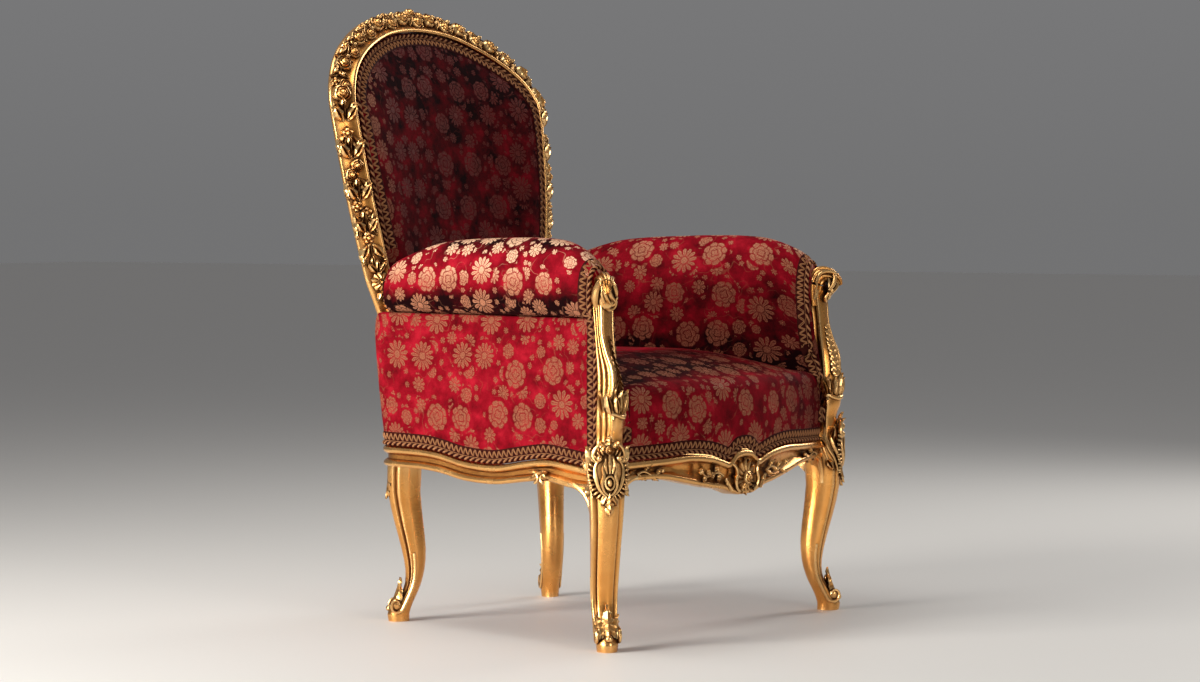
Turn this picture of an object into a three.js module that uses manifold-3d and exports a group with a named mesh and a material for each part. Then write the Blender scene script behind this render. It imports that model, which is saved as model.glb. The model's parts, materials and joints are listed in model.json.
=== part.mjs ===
// A carved and gilded armchair with closed arms, in millimetres, +Z up.
// x runs across the chair and the sitter looks along -y. The front feet stand at y = 0 while the
// pieces are made, and the whole chair is centred over the origin at the end.
import * as THREE from 'three';
import { mergeVertices } from 'three/addons/utils/BufferGeometryUtils.js';
import Module from 'manifold-3d';

// Driving dimensions
const gap = 0.3;
const frontFootX = 370;
const backFootX = 240;
const backFootY = 563;
const frontLegTop = 352;
const backLegTop = 300;

const sideFrontX = 372;
const sideFrontY = 20;
const rearCornerX = 290;
const rearCornerY = 535;
const cornerRadius = 55;
const railThickness = 26;

const frontBow = 45;
const frontRailX = 352;
const panelThickness = 14;
const creaseHeight = 577;
const rollTop = 712;
const rollOverhang = 24;
const seatEdge = 462;
const seatCrown = 506;

const leanDegrees = 11;
const backFrontY = 560;
const backFrontZ = 620;
const backBow = 47;
const backHalfWidth = 286;
const frameWidth = 40;
const frameDepth = 34;
const stileEnd = 552;
const archTop = 1107;

const braidWidth = 26;
const braidThickness = 2.6;

const gilt = { color: 0xb98a3a, roughness: 0.32, metalness: 0.9 };
const velvet = { color: 0x8f0f22, roughness: 0.75, metalness: 0 };
const gimp = { color: 0x8a6a45, roughness: 0.8, metalness: 0 };

const wasm = await Module();
wasm.setup();

const vec = (x, y, z) => new THREE.Vector3(x, y, z);
const mix = (a, b, t) => a + (b - a) * t;
const steps = (count) => Array.from({ length: count + 1 }, (_, i) => i / count);
const turns = (count) => Array.from({ length: count }, (_, i) => (2 * Math.PI * i) / count);

// A smooth function through rows of [position, value, value, ...], one result for each value.
function through(rows) {
  const slope = (i, k) => {
    const a = rows[Math.max(i - 1, 0)];
    const b = rows[Math.min(i + 1, rows.length - 1)];
    return (b[k] - a[k]) / (b[0] - a[0]);
  };
  return (position, k = 1) => {
    const p = Math.min(Math.max(position, rows[0][0]), rows.at(-1)[0]);
    let i = 0;
    while (i < rows.length - 2 && p > rows[i + 1][0]) i += 1;
    const span = rows[i + 1][0] - rows[i][0];
    const t = (p - rows[i][0]) / span;
    const ease = t * t * (3 - 2 * t);
    const start = slope(i, k) * span * t * (1 - t) ** 2;
    const end = slope(i + 1, k) * span * t * t * (t - 1);
    return mix(rows[i][k], rows[i + 1][k], ease) + start + end;
  };
}

function faceOutward(geometry) {
  const p = geometry.attributes.position;
  const index = geometry.index.array;
  const [a, b, c] = [vec(0, 0, 0), vec(0, 0, 0), vec(0, 0, 0)];
  let volume = 0;
  for (let i = 0; i < index.length; i += 3) {
    a.fromBufferAttribute(p, index[i]);
    b.fromBufferAttribute(p, index[i + 1]);
    c.fromBufferAttribute(p, index[i + 2]);
    volume += a.dot(b.cross(c));
  }
  if (volume < 0) {
    for (let i = 0; i < index.length; i += 3) {
      [index[i + 1], index[i + 2]] = [index[i + 2], index[i + 1]];
    }
  }
  return geometry;
}

// A closed body through rings with equal point counts, with a fan over each end.
function loft(rings) {
  const count = rings[0].length;
  const points = rings.flat();
  const index = [];
  for (let r = 0; r < rings.length - 1; r += 1) {
    for (let i = 0; i < count; i += 1) {
      const a = r * count + i;
      const b = r * count + ((i + 1) % count);
      index.push(a, b, b + count, a, b + count, a + count);
    }
  }
  const cap = (ring, start, turn) => {
    const middle = ring.reduce((sum, p) => sum.add(p), vec(0, 0, 0)).divideScalar(count);
    points.push(middle);
    for (let i = 0; i < count; i += 1) {
      const edge = [start + i, start + ((i + 1) % count)];
      index.push(points.length - 1, edge[turn], edge[1 - turn]);
    }
  };
  cap(rings[0], 0, 1);
  cap(rings.at(-1), (rings.length - 1) * count, 0);
  const geometry = new THREE.BufferGeometry().setFromPoints(points);
  geometry.setIndex(index);
  return faceOutward(geometry);
}

function bare(geometry) {
  const copy = geometry.clone();
  copy.deleteAttribute('normal');
  copy.deleteAttribute('uv');
  return mergeVertices(copy, 1e-3);
}

function toSolid(geometry) {
  const clean = bare(geometry);
  return new wasm.Manifold(new wasm.Mesh({
    numProp: 3,
    vertProperties: Float32Array.from(clean.attributes.position.array),
    triVerts: Uint32Array.from(clean.index.array),
  }));
}

function toGeometry(solid) {
  const mesh = solid.getMesh();
  const geometry = new THREE.BufferGeometry();
  geometry.setAttribute('position', new THREE.BufferAttribute(mesh.vertProperties, 3));
  geometry.setIndex(new THREE.BufferAttribute(mesh.triVerts, 1));
  return geometry;
}

function join(geometries) {
  return toGeometry(geometries.map(toSolid).reduce((sum, solid) => sum.add(solid)));
}

function cut(geometry, tools) {
  return toGeometry(tools.map(toSolid).reduce((rest, tool) => rest.subtract(tool), toSolid(geometry)));
}

function mirrored(geometry) {
  const copy = bare(geometry);
  copy.scale(-1, 1, 1);
  return faceOutward(copy);
}

// The same body with its faces moved outward by about the gap, for cutting room in a neighbour.
function grown(geometry) {
  const copy = bare(geometry);
  copy.computeVertexNormals();
  const { position, normal } = copy.attributes;
  for (let i = 0; i < position.count; i += 1) {
    position.setXYZ(
      i,
      position.getX(i) + normal.getX(i) * gap * 1.6,
      position.getY(i) + normal.getY(i) * gap * 1.6,
      position.getZ(i) + normal.getZ(i) * gap * 1.6,
    );
  }
  return copy;
}

// Puts a small carving, made along +x and rising along +z, on a surface.
function onto(geometry, place, along, outward) {
  const z = outward.clone().normalize();
  const y = z.clone().cross(along).normalize();
  const x = y.clone().cross(z);
  const copy = geometry.clone();
  return copy.applyMatrix4(new THREE.Matrix4().makeBasis(x, y, z).setPosition(place));
}

// A round bar of changing radius along a curve.
function bar(curve, stations, radiusAt, sides = 6) {
  const frames = curve.computeFrenetFrames(stations, false);
  return loft(steps(stations).map((t, i) => {
    const middle = curve.getPointAt(t);
    const radius = radiusAt(t);
    return turns(sides).map((a) => middle.clone()
      .addScaledVector(frames.normals[i], Math.cos(a) * radius)
      .addScaledVector(frames.binormals[i], Math.sin(a) * radius));
  }));
}

// A carved leaf: a ridge down the middle, edges sunk in the ground and a lifted tip.
function leaf(length, width, rise, lift = 0) {
  const sink = 3;
  const rows = [[0, 0.34, 1], [0.45, 0.5, 0.85], [1, 0.06, 0.4]];
  return loft(rows.map(([t, half, ridge]) => [
    vec(length * t, -width * half, -sink),
    vec(length * t, 0, lift * t * t + rise * ridge),
    vec(length * t, width * half, -sink),
  ]));
}

// A carved flower head: petals round a raised eye.
function blossom(radius, rise, petals = 4) {
  const ring = (scale, height, depth) => turns(petals * 2).map((a, i) => {
    const r = radius * scale * (i % 2 ? 1 : depth);
    return vec(r * Math.cos(a), r * Math.sin(a), height);
  });
  return loft([ring(0.85, -3, 0.9), ring(1, rise * 0.5, 0.72), ring(0.4, rise, 1)]);
}

function egg(rx, ry, rz, sides = 8) {
  const ball = new THREE.SphereGeometry(1, sides, sides / 2);
  ball.scale(rx, ry, rz);
  return ball;
}

// Cabriole leg in its own plane: u runs outward on the diagonal, v across it.
// Rows: height, centre along u, half depth along u, half width along v.
const legShape = through([
  [0, 0, 20, 17],
  [14, 1, 21, 18.5],
  [34, -9, 18, 19.5],
  [60, -25, 15, 20.5],
  [93, -31, 18.5, 22.5],
  [132, -27, 23, 25],
  [190, -14, 27, 28.5],
  [240, -8, 31, 30],
  [290, -11, 33, 31],
  [360, -13, 31, 30],
]);

const backLegScale = 0.93;
const roomStretch = 1.02;

function legBody(top, scale, foot, outward, stretch = 1) {
  const across = vec(-outward.y, outward.x, 0);
  const heights = [0, 16, 34, 52, 74, 98, 135, 185, 240].filter((z) => z < top - 20).concat([top]);
  return loft(heights.map((z) => turns(12).map((a, i) => {
    const swell = i % 3 === 0 ? 1.07 : 0.97;
    const u = (legShape(z, 1) + legShape(z, 2) * Math.cos(a) * swell * stretch) * scale;
    const v = legShape(z, 3) * Math.sin(a) * swell * scale * stretch;
    return foot.clone().addScaledVector(outward, u).addScaledVector(across, v).setZ(z);
  })));
}

// The knee's cartouche: a ribbed shell border, an oval boss and pendant leaves.
const kneeHeight = 298;
const kneeHalfWidth = 29;
const kneeHalfHeight = 44;
const kneeReach = 20;

function kneeCarving(foot, outward) {
  const across = vec(-outward.y, outward.x, 0);
  const up = vec(0, 0, 1);
  const heart = foot.clone().addScaledVector(outward, kneeReach).setZ(kneeHeight);
  const at = (v, w, depth = 0) => heart.clone()
    .addScaledVector(across, v)
    .addScaledVector(up, w)
    .addScaledVector(outward, depth - v * v / 125);
  const carvings = [onto(egg(kneeHalfHeight - 4, kneeHalfWidth - 4, 9), at(0, 0, -1), up, outward)];
  carvings.push(onto(egg(10, 7, 7, 6), at(0, -9, 8), up, outward));
  const ribs = 7;
  for (let i = 0; i < ribs; i += 1) {
    const a = mix(-0.42, 1.42, i / (ribs - 1)) * Math.PI;
    const [v, w] = [Math.cos(a), Math.sin(a)];
    const root = at(v * (kneeHalfWidth - 12), -w * (kneeHalfHeight - 16), 1);
    const along = across.clone().multiplyScalar(v).addScaledVector(up, -w);
    carvings.push(onto(leaf(17, 15, 6), root, along, outward.clone().addScaledVector(along, 0.35)));
  }
  carvings.push(onto(leaf(30, 16, 6), at(0, -kneeHalfHeight + 8, 0), up.clone().negate(), outward));
  for (const side of [-0.5, 0.5]) {
    const rising = across.clone().multiplyScalar(side).addScaledVector(up, 1);
    carvings.push(onto(leaf(22, 15, 6, 3), at(side * 14, kneeHalfHeight - 16, 1), rising, outward));
  }
  return carvings;
}

// A plain solid a little larger than the leg and its cartouche, for cutting the neighbours.
function frontLegRoom() {
  const foot = vec(frontFootX, 0, 0);
  const outward = vec(1, -1, 0).normalize();
  const heart = foot.clone().addScaledVector(outward, kneeReach).setZ(kneeHeight);
  const shield = onto(egg(kneeHalfHeight + 10, kneeHalfWidth + 12, 18), heart, vec(0, 0, 1), outward);
  return join([legBody(frontLegTop + 1, 1, foot, outward, roomStretch), shield]);
}

function backLegRoom() {
  const foot = vec(backFootX, backFootY, -1);
  return legBody(backLegTop + 1, backLegScale, foot, vec(1, 1, 0).normalize(), roomStretch);
}

function frontLeg() {
  const foot = vec(frontFootX, 0, 0);
  const outward = vec(1, -1, 0).normalize();
  const toe = foot.clone().addScaledVector(outward, 12).setZ(14);
  const toeLeaf = onto(leaf(30, 22, 6), toe, vec(-outward.x * 0.45, -outward.y * 0.45, 1), outward);
  return join([legBody(frontLegTop, 1, foot, outward), toeLeaf, ...kneeCarving(foot, outward)]);
}

function backLeg() {
  const foot = vec(backFootX, backFootY, 0);
  const outward = vec(1, 1, 0).normalize();
  return legBody(backLegTop, backLegScale, foot, outward);
}

// Seat rails. Rows give the top and bottom of the rail; the front runs on |x|, the side on y.
const frontRailEdge = through([
  [0, 331, 250],
  [26, 327, 251],
  [48, 312, 257],
  [70, 317, 263],
  [105, 325, 268],
  [160, 330, 278],
  [235, 328, 291],
  [352, 325, 293],
]);
const sideRailEdge = through([
  [0, 314, 278],
  [67, 322, 280],
  [120, 327, 288],
  [177, 321, 284],
  [253, 310, 275],
  [330, 313, 277],
  [400, 325, 288],
  [460, 329, 292],
  [760, 329, 292],
]);
const frontStations = (end) => {
  const half = [0, 16, 31, 47, 70, 110, 170, 250, end];
  return [...half.slice(1).reverse().map((x) => -x), ...half];
};
const frontLine = (x) => -frontBow * (1 - (x / frontRailX) ** 2);

// The show face of a rail: n is how far it stands out from the face line, w the height.
function railSection(top, bottom) {
  const bead = Math.min(8, (top - bottom) * 0.22);
  return [
    [-railThickness, top],
    [2, top],
    [5, top - bead * 0.5],
    [-1, top - bead * 1.2],
    [-4, (top + bottom) / 2],
    [0, bottom + bead],
    [4, bottom + bead * 0.4],
    [-1, bottom],
    [-railThickness, bottom],
  ];
}

function sprig(place, along, outward, reach) {
  const across = outward.clone().cross(along).normalize();
  return [-0.45, 0.3].map((turn, i) => {
    const way = along.clone().addScaledVector(across, turn);
    const root = place.clone().addScaledVector(along, i * reach * 0.4);
    return onto(leaf(reach * 0.7, 13, 5), root, way, outward);
  });
}

function frontRail() {
  const rings = frontStations(frontRailX).map((x) => {
    const [top, bottom] = [frontRailEdge(Math.abs(x), 1), frontRailEdge(Math.abs(x), 2)];
    return railSection(top, bottom).map(([n, w]) => vec(x, frontLine(x) - n, w));
  });
  const front = vec(0, -1, 0);
  const carvings = [];
  const lobes = 6;
  const shellFoot = vec(0, frontLine(0) + 2, 272);
  for (let i = 0; i < lobes; i += 1) {
    const a = mix(-0.08, 1.08, i / (lobes - 1)) * Math.PI;
    const along = vec(Math.cos(a), 0, Math.sin(a));
    carvings.push(onto(leaf(41, 19, 9, 2), shellFoot, along, front));
  }
  carvings.push(onto(egg(9, 9, 8), shellFoot.clone().setZ(268), vec(0, 0, 1), front));
  for (const side of [-1, 1]) {
    carvings.push(onto(leaf(26, 14, 8), shellFoot.clone().setZ(272), vec(side * 0.5, 0, -1), front));
    const near = vec(side * 52, frontLine(52) + 3, 288);
    carvings.push(...sprig(near, vec(side, 0.12, 0.16).normalize(), front, 52));
    const far = vec(side * 322, frontLine(322) + 3, 302);
    carvings.push(...sprig(far, vec(-side, -0.2, 0.1).normalize(), front, 48));
  }
  return cut(join([loft(rings), ...carvings]), [frontLegRoom(), mirrored(frontLegRoom())]);
}

// The chair's side in plan: straight from the arm post to the rear corner, then round it.
// Distance runs from the front; the result is a point and the outward direction there.
const sideRun = Math.hypot(sideFrontX - rearCornerX, rearCornerY - sideFrontY);
const cornerTurn = Math.atan2(rearCornerY - sideFrontY, sideFrontX - rearCornerX);
const sideEnd = sideRun + cornerRadius * cornerTurn;

function sideLine(distance) {
  const straight = Math.min(distance, sideRun);
  const along = vec(rearCornerX - sideFrontX, rearCornerY - sideFrontY, 0).normalize();
  const outward = vec(along.y, -along.x, 0);
  const point = vec(sideFrontX, sideFrontY, 0).addScaledVector(along, straight);
  if (distance <= sideRun) return { point, outward };
  const turn = Math.min((distance - sideRun) / cornerRadius, cornerTurn);
  const centre = point.clone().addScaledVector(outward, -cornerRadius);
  outward.applyAxisAngle(vec(0, 0, 1), turn);
  return { point: centre.addScaledVector(outward, cornerRadius), outward };
}

const sideStations = (straightSteps, cornerSteps) => [
  ...steps(straightSteps).map((t) => t * sideRun),
  ...steps(cornerSteps).slice(1).map((t) => mix(sideRun, sideEnd, t)),
];

function sideRail() {
  const rings = sideStations(11, 4).map((d) => {
    const { point, outward } = sideLine(d);
    return railSection(sideRailEdge(d, 1), sideRailEdge(d, 2))
      .map(([n, w]) => point.clone().addScaledVector(outward, n).setZ(w));
  });
  const { point, outward } = sideLine(130);
  const along = vec(outward.y, -outward.x, 0);
  const scroll = sprig(point.clone().addScaledVector(outward, -2).setZ(294), along, outward, 40);
  return cut(join([loft(rings), ...scroll]), [frontLegRoom(), backLegRoom()]);
}

function backRail() {
  const end = sideLine(sideEnd).point;
  const [top, bottom] = [sideRailEdge(700, 1), sideRailEdge(700, 2)];
  const rings = [-1, 1].map((side) => railSection(top, bottom)
    .map(([n, w]) => vec(side * (end.x - gap), end.y + n, w)));
  return cut(loft(rings), [backLegRoom(), mirrored(backLegRoom())]);
}

// Arm post. Rows: height, inner and outer x from the foot's centre, front and back y, and how far
// the middle of the front bellies out.
const postShape = through([
  [352.6, -30, 8, -13, 28, 3],
  [375, -29, 7, -12, 28, 2],
  [392, -31, 11, -19, 28, 8],
  [412, -30, 12, -17, 27, 15],
  [440, -27, 10, -9, 25, 16],
  [475, -25, 9, -2, 24, 13],
  [510, -25, 8, 5, 26, 4],
  [545, -25, 7, 10, 30, 1],
  [580, -27, 7, 14, 34, 2],
  [612, -31, 6, 16, 36, 4],
]);

function postBody() {
  const heights = [352.6, 384, 396, 415, 440, 470, 500, 540, 612];
  return loft(heights.map((z) => {
    const [x0, x1] = [frontFootX + postShape(z, 1), frontFootX + postShape(z, 2)];
    const [y0, y1] = [postShape(z, 3), postShape(z, 4)];
    const belly = postShape(z, 5);
    const flute = 2.5;
    return [
      vec(x0, y0 + 4, z),
      vec(mix(x0, x1, 0.2), y0 - belly * 0.6, z),
      vec(mix(x0, x1, 0.5), y0 - belly, z),
      vec(mix(x0, x1, 0.8), y0 - belly * 0.6, z),
      vec(x1, y0 + 4, z),
      vec(x1 - flute, mix(y0, y1, 0.35), z),
      vec(x1, mix(y0, y1, 0.5), z),
      vec(x1 - flute, mix(y0, y1, 0.65), z),
      vec(x1, y1, z),
      vec(x0, y1, z),
    ];
  }));
}

// The handhold: a leaf that wraps the arm's front end and curls forward and outward to a tip.
const gripRows = [
  [352, 26, 596, 17, 15],
  [352, 26, 622, 22, 20],
  [354, 17, 644, 23, 21],
  [361, 1, 651, 20, 16],
  [370, -14, 646, 14, 11],
  [376, -25, 637, 8, 7],
  [380, -31, 630, 3, 3],
];

function grip() {
  const middles = gripRows.map(([x, y, z]) => vec(x, y, z));
  const across = vec(1, 0.45, 0).normalize();
  return loft(gripRows.map((row, i) => {
    const before = middles[Math.max(i - 1, 0)];
    const after = middles[Math.min(i + 1, middles.length - 1)];
    const along = after.clone().sub(before).normalize();
    const up = across.clone().cross(along).normalize();
    return turns(8).map((a, k) => middles[i].clone()
      .addScaledVector(across, Math.cos(a) * row[3] * (k % 2 ? 1 : 0.94))
      .addScaledVector(up, Math.sin(a) * row[4] * (k % 2 ? 1 : 0.94)));
  }));
}

// Two nested loops on the outer side of the arm's end.
function sideVolute() {
  const x = frontFootX + 8;
  return [[20, 4], [10, 3.4]].map(([radius, thick]) => {
    const turn = steps(6).map((t) => {
      const a = mix(0.08, -1.12, t) * Math.PI;
      return vec(x, 18 - radius * Math.cos(a), 600 + radius * 1.15 * Math.sin(a));
    });
    turn.unshift(vec(x - 5, 16 - radius * 0.6, 630));
    const curve = new THREE.CatmullRomCurve3(turn);
    return bar(curve, 6, (t) => thick * (0.7 + 0.5 * Math.sin(Math.PI * t)), 4);
  });
}

// A plain solid round the post and its volute, for cutting the neighbours.
function armPostRoom() {
  const core = loft([350, 395, 440, 500, 560, 612].map((z) => {
    const [x0, x1] = [frontFootX + postShape(z, 1) - 0.8, frontFootX + postShape(z, 2) + 0.8];
    const [y0, y1] = [postShape(z, 3) - postShape(z, 5), postShape(z, 4) + 0.8];
    return [vec(x0, y0, z), vec(x1, y0, z), vec(x1, y1, z), vec(x0, y1, z)];
  }));
  const volute = onto(egg(30, 32, 15), vec(frontFootX + 8, 17, 600), vec(0, 1, 0), vec(1, 0, 0));
  return join([core, volute, grown(grip())]);
}

function armPost() {
  const front = vec(0, -1, 0);
  const centreX = frontFootX - 10;
  const carvings = [];
  const husks = 4;
  for (let i = 0; i < husks; i += 1) {
    const z = mix(446, 522, i / (husks - 1));
    const size = mix(11, 6, i / (husks - 1));
    const face = postShape(z, 3) - postShape(z, 5);
    carvings.push(onto(blossom(size, size * 0.8, 3), vec(centreX, face, z), vec(0, 0, 1), front));
  }
  const cupLeaves = 5;
  for (let i = 0; i < cupLeaves; i += 1) {
    const a = mix(-0.9, 0.9, i / (cupLeaves - 1));
    const outward = vec(Math.sin(a), -Math.cos(a), 0);
    const root = vec(centreX + 17 * Math.sin(a), postShape(430, 3) + 4 - 16 * Math.cos(a) ** 3, 436);
    carvings.push(onto(leaf(36, 17, 7, 5), root, vec(0, -0.1, -1), outward));
  }
  return join([postBody(), grip(), ...sideVolute(), ...carvings]);
}

// Back frame. The outline is the inner edge of the frame in the leaning plane: x and height.
// The whole back leans, and bows to the rear between its stiles.
const lean = Math.tan(THREE.MathUtils.degToRad(leanDegrees));
const backY = (x, z) => backFrontY + (z - backFrontZ) * lean
  + backBow * (1 - Math.min(Math.abs(x) / backHalfWidth, 1) ** 2.3);
const outlineHalf = [
  [0, archTop],
  [70, archTop - 5],
  [126, archTop - 18],
  [194, archTop - 46],
  [249, archTop - 82],
  [278, archTop - 120],
  [backHalfWidth, archTop - 160],
  [272, 802],
  [252, 693],
  [239, 620],
  [230, stileEnd],
];
const outline = new THREE.CatmullRomCurve3(
  [
    ...outlineHalf.slice(1).reverse().map(([x, z]) => vec(-x, 0, z)),
    ...outlineHalf.map(([x, z]) => vec(x, 0, z)),
  ],
  false,
  'centripetal',
);
const outwardAt = (t) => {
  const along = outline.getTangentAt(t);
  return vec(-along.z, 0, along.x);
};

// A point of the frame: t along the outline, n outward from the inner edge, depth to the rear.
function framePoint(t, n, depth) {
  const edge = outline.getPointAt(t);
  const point = edge.clone().addScaledVector(outwardAt(t), n);
  return point.setY(backY(edge.x, point.z) + depth);
}

// A point of the upholstery inside the frame, which keeps the bow at its own place.
function padPoint(t, n, depth) {
  const point = framePoint(t, n, 0);
  return point.setY(backY(point.x, point.z) + depth);
}

const outlineFraction = (z) => {
  let [low, high] = [0, 0.5];
  for (let i = 0; i < 30; i += 1) {
    const middle = (low + high) / 2;
    if (outline.getPointAt(middle).z < z) low = middle;
    else high = middle;
  }
  return low;
};

const frameTaper = through([[stileEnd, 0.45], [600, 0.75], [650, 1], [960, 1], [archTop, 0.88]]);

const frameStations = 28;

function frameBody() {
  return loft(steps(frameStations).map((t) => {
    const z = outline.getPointAt(t).z;
    const w = frameWidth * frameTaper(z);
    return [
      framePoint(t, 0, 0),
      framePoint(t, 5, -5),
      framePoint(t, 10, -1),
      framePoint(t, w * 0.7, 6),
      framePoint(t, w, 13),
      framePoint(t, w * 0.96, frameDepth),
      framePoint(t, 0, frameDepth),
    ];
  }));
}

function frameCarving() {
  const carvings = [];
  const facing = (t) => outwardAt(t).multiplyScalar(0.45).add(vec(0, -1, 0));
  const put = (geometry, t, n, depth, turn) => {
    const outward = outwardAt(t);
    const along = outline.getTangentAt(t).multiplyScalar(Math.cos(turn));
    along.addScaledVector(outward, Math.sin(turn));
    carvings.push(onto(geometry, framePoint(t, n, depth), along, facing(t)));
  };
  const shoulder = outlineFraction(archTop - 145);
  const roses = 13;
  for (let i = 0; i < roses; i += 1) {
    const t = mix(shoulder, 1 - shoulder, i / (roses - 1));
    const size = i % 2 ? 19 : 16;
    put(blossom(size, 14, 3), t, frameWidth - (i % 2 ? 10 : 18), i % 2 ? 9 : 5, i * 0.7);
  }
  const groups = 5;
  for (const half of [0, 1]) {
    for (let i = 0; i < groups; i += 1) {
      const base = mix(outlineFraction(665), shoulder - 0.03, i / (groups - 1));
      const t = half ? 1 - base : base;
      put(blossom(i % 2 ? 10 : 13, 10, 3), t, frameWidth * 0.6, 6, 0);
      const downward = half ? 0 : Math.PI;
      for (const turn of [0.3, -0.3]) {
        put(leaf(40, 15, 6, 2), t, frameWidth * 0.6, 6, downward + turn);
      }
    }
    const scroll = outlineFraction(622);
    put(blossom(14, 12), half ? 1 - scroll : scroll, frameWidth * 0.42, 7, 0);
  }
  return carvings;
}

const backFrame = () => join([frameBody(), ...frameCarving()]);

// Upholstery
function seatForm() {
  const [frontX, rearX] = [336, 240];
  const rearY = 512;
  const halfWidth = (y) => mix(frontX - 26, rearX, Math.min(Math.max((y - 40) / (rearY - 40), 0), 1));
  const corners = frontStations(frontX).map((x) => vec(x, frontLine(x) + 4, 0));
  for (const y of [40, 200, 360, rearY]) corners.push(vec(halfWidth(y), y, 0));
  corners.push(vec(0, rearY + 20, 0));
  for (const y of [rearY, 360, 200, 40]) corners.push(vec(-halfWidth(y), y, 0));
  const heart = vec(0, 230, 0);
  const level = (shrink, height) => corners.map((p) => {
    const front = p.y < 38;
    const q = p.clone().lerp(heart, shrink);
    const hem = front ? frontRailEdge(Math.abs(p.x), 1) + 3 : 331.5;
    return q.setZ(height(hem, front));
  });
  return loft([
    level(0.15, () => 336),
    level(0.003, (hem) => hem),
    level(0, (hem) => hem + 24),
    level(-0.006, (hem) => mix(hem, seatEdge, 0.55)),
    level(0.012, () => seatEdge - 12),
    level(0.07, () => seatEdge + 6),
    level(0.25, () => mix(seatEdge, seatCrown, 0.68)),
    level(0.65, () => seatCrown),
  ]);
}

const seatCushion = () => cut(seatForm(), [frontLegRoom(), mirrored(frontLegRoom())]);

const armInner = through([[0, -36], [22, -44], [60, -63], [110, -75], [440, -79], [505, -70]]);

// The arm's section at a distance along the side: n outward from the side line, w the height.
const rollHeight = through([
  [0, 664],
  [40, 690],
  [110, rollTop],
  [260, rollTop],
  [400, rollTop - 6],
  [470, 682],
  [510, 662],
]);
const rollSwell = through([[0, 0.25], [40, 0.85], [100, 1], [440, 1], [500, 0.55]]);

function armSection(distance) {
  const top = rollHeight(distance);
  const out = rollOverhang * rollSwell(distance);
  const inner = armInner(distance);
  const crease = creaseHeight + 1;
  return [
    [-panelThickness - 9, 356],
    [-panelThickness - 9, crease],
    [-2, crease],
    [out * 0.75, crease + 14],
    [out, mix(crease, top, 0.45)],
    [out * 0.6, mix(crease, top, 0.8)],
    [inner * 0.32, top],
    [inner * 0.78, mix(crease, top, 0.86)],
    [inner - 4, mix(crease, top, 0.45)],
    [inner - 2, crease - 30],
    [inner + 2, 450],
    [inner + 10, 356],
  ];
}

function armCushion() {
  const rings = [4, 20, 46, 95, 180, 280, 380, 450, 490, 515].map((d) => {
    const { point, outward } = sideLine(d);
    return armSection(d).map(([n, w]) => point.clone().addScaledVector(outward, n).setZ(w));
  });
  return cut(loft(rings), [armPostRoom(), frameBody(), seatCushion()].map(grown));
}

// A point of the outer side fabric, which leans back towards the rear corner as it rises.
const sideLean = through([[0, 0], [330, 0], [sideRun, 1], [900, 1]]);
function sideFabric(distance, n, w) {
  const { point, outward } = sideLine(distance);
  const rise = w - sideRailEdge(distance, 1);
  return point.clone().addScaledVector(outward, n).add(vec(0, sideLean(distance) * rise * 0.11, 0)).setZ(w);
}

function sidePanel() {
  const top = (d) => mix(creaseHeight, stileEnd - 6, THREE.MathUtils.smoothstep(d, 500, 535));
  const rings = sideStations(11, 4).map((d) => {
    const hem = sideRailEdge(d, 1) + gap;
    const crown = 5 * Math.sin(Math.PI * Math.min(d / sideEnd, 1)) ** 0.5;
    return [
      [-panelThickness, hem],
      [0, hem],
      [crown, mix(hem, top(d), 0.3)],
      [crown, mix(hem, top(d), 0.7)],
      [0, top(d)],
      [-panelThickness, top(d)],
    ].map(([n, w]) => sideFabric(d, n, w));
  });
  return cut(loft(rings), [frontLegRoom(), armPostRoom()].map(grown));
}

// A pad inside the frame's outline, from the bottom height up, that follows the back's bow on
// both faces. Depths run to the rear from the frame's inner edge; the face swells by the crown.
function framedPad(bottom, inset, faceDepth, backDepth, crown) {
  const low = bottom < stileEnd ? 0 : outlineFraction(bottom);
  const rim = steps(frameStations).map((t) => framePoint(mix(low, 1 - low, t), -inset, 0));
  if (bottom < stileEnd) {
    const halfWidth = rim.at(-1).x;
    rim.push(vec(halfWidth, 0, bottom));
    rim.unshift(vec(-halfWidth, 0, bottom));
  }
  const middle = mix(bottom, archTop, 0.5);
  const level = (shrink, depth) => rim.map((p) => {
    const x = mix(p.x, 0, shrink);
    const z = mix(p.z, middle, shrink);
    return vec(x, backY(x, z) + depth, z);
  });
  return loft([
    level(0.8, backDepth),
    level(0, backDepth),
    level(0, faceDepth),
    level(0.08, faceDepth + crown * 0.5),
    level(0.3, faceDepth + crown * 0.9),
    level(0.75, faceDepth + crown),
  ]);
}

const armPair = () => [armCushion(), mirrored(armCushion())];
const backCushion = () => cut(framedPad(400, gap + 0.2, 5, 8, -26), [seatForm(), ...armPair()].map(grown));

// The rear fabric leans with the frame and drops to the back rail.
function backPanel() {
  const end = sideLine(sideEnd).point;
  const hem = sideRailEdge(700, 1) + gap;
  const half = end.x - 1;
  const lower = [[hem, end.y], [mix(hem, stileEnd, 0.5), end.y + 12], [stileEnd - 8, end.y + 23]];
  const rings = lower.map(([z, y]) => [
    vec(-half, y, z),
    vec(half, y, z),
    vec(half, y - panelThickness, z),
    vec(-half, y - panelThickness, z),
  ]);
  const upper = framedPad(400, gap + 0.2, 22, 18, 8);
  return join([loft(rings), upper]);
}

// Gimp braid: a flat band between two edges. A row holds a point of each edge and the direction
// that the fabric faces there.
function band(rows) {
  return loft(rows.map(([a, b, outward]) => {
    const lifted = (p, by) => p.clone().addScaledVector(outward, by);
    return [lifted(a, gap), lifted(b, gap), lifted(b, braidThickness), lifted(a, braidThickness)];
  }));
}

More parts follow.
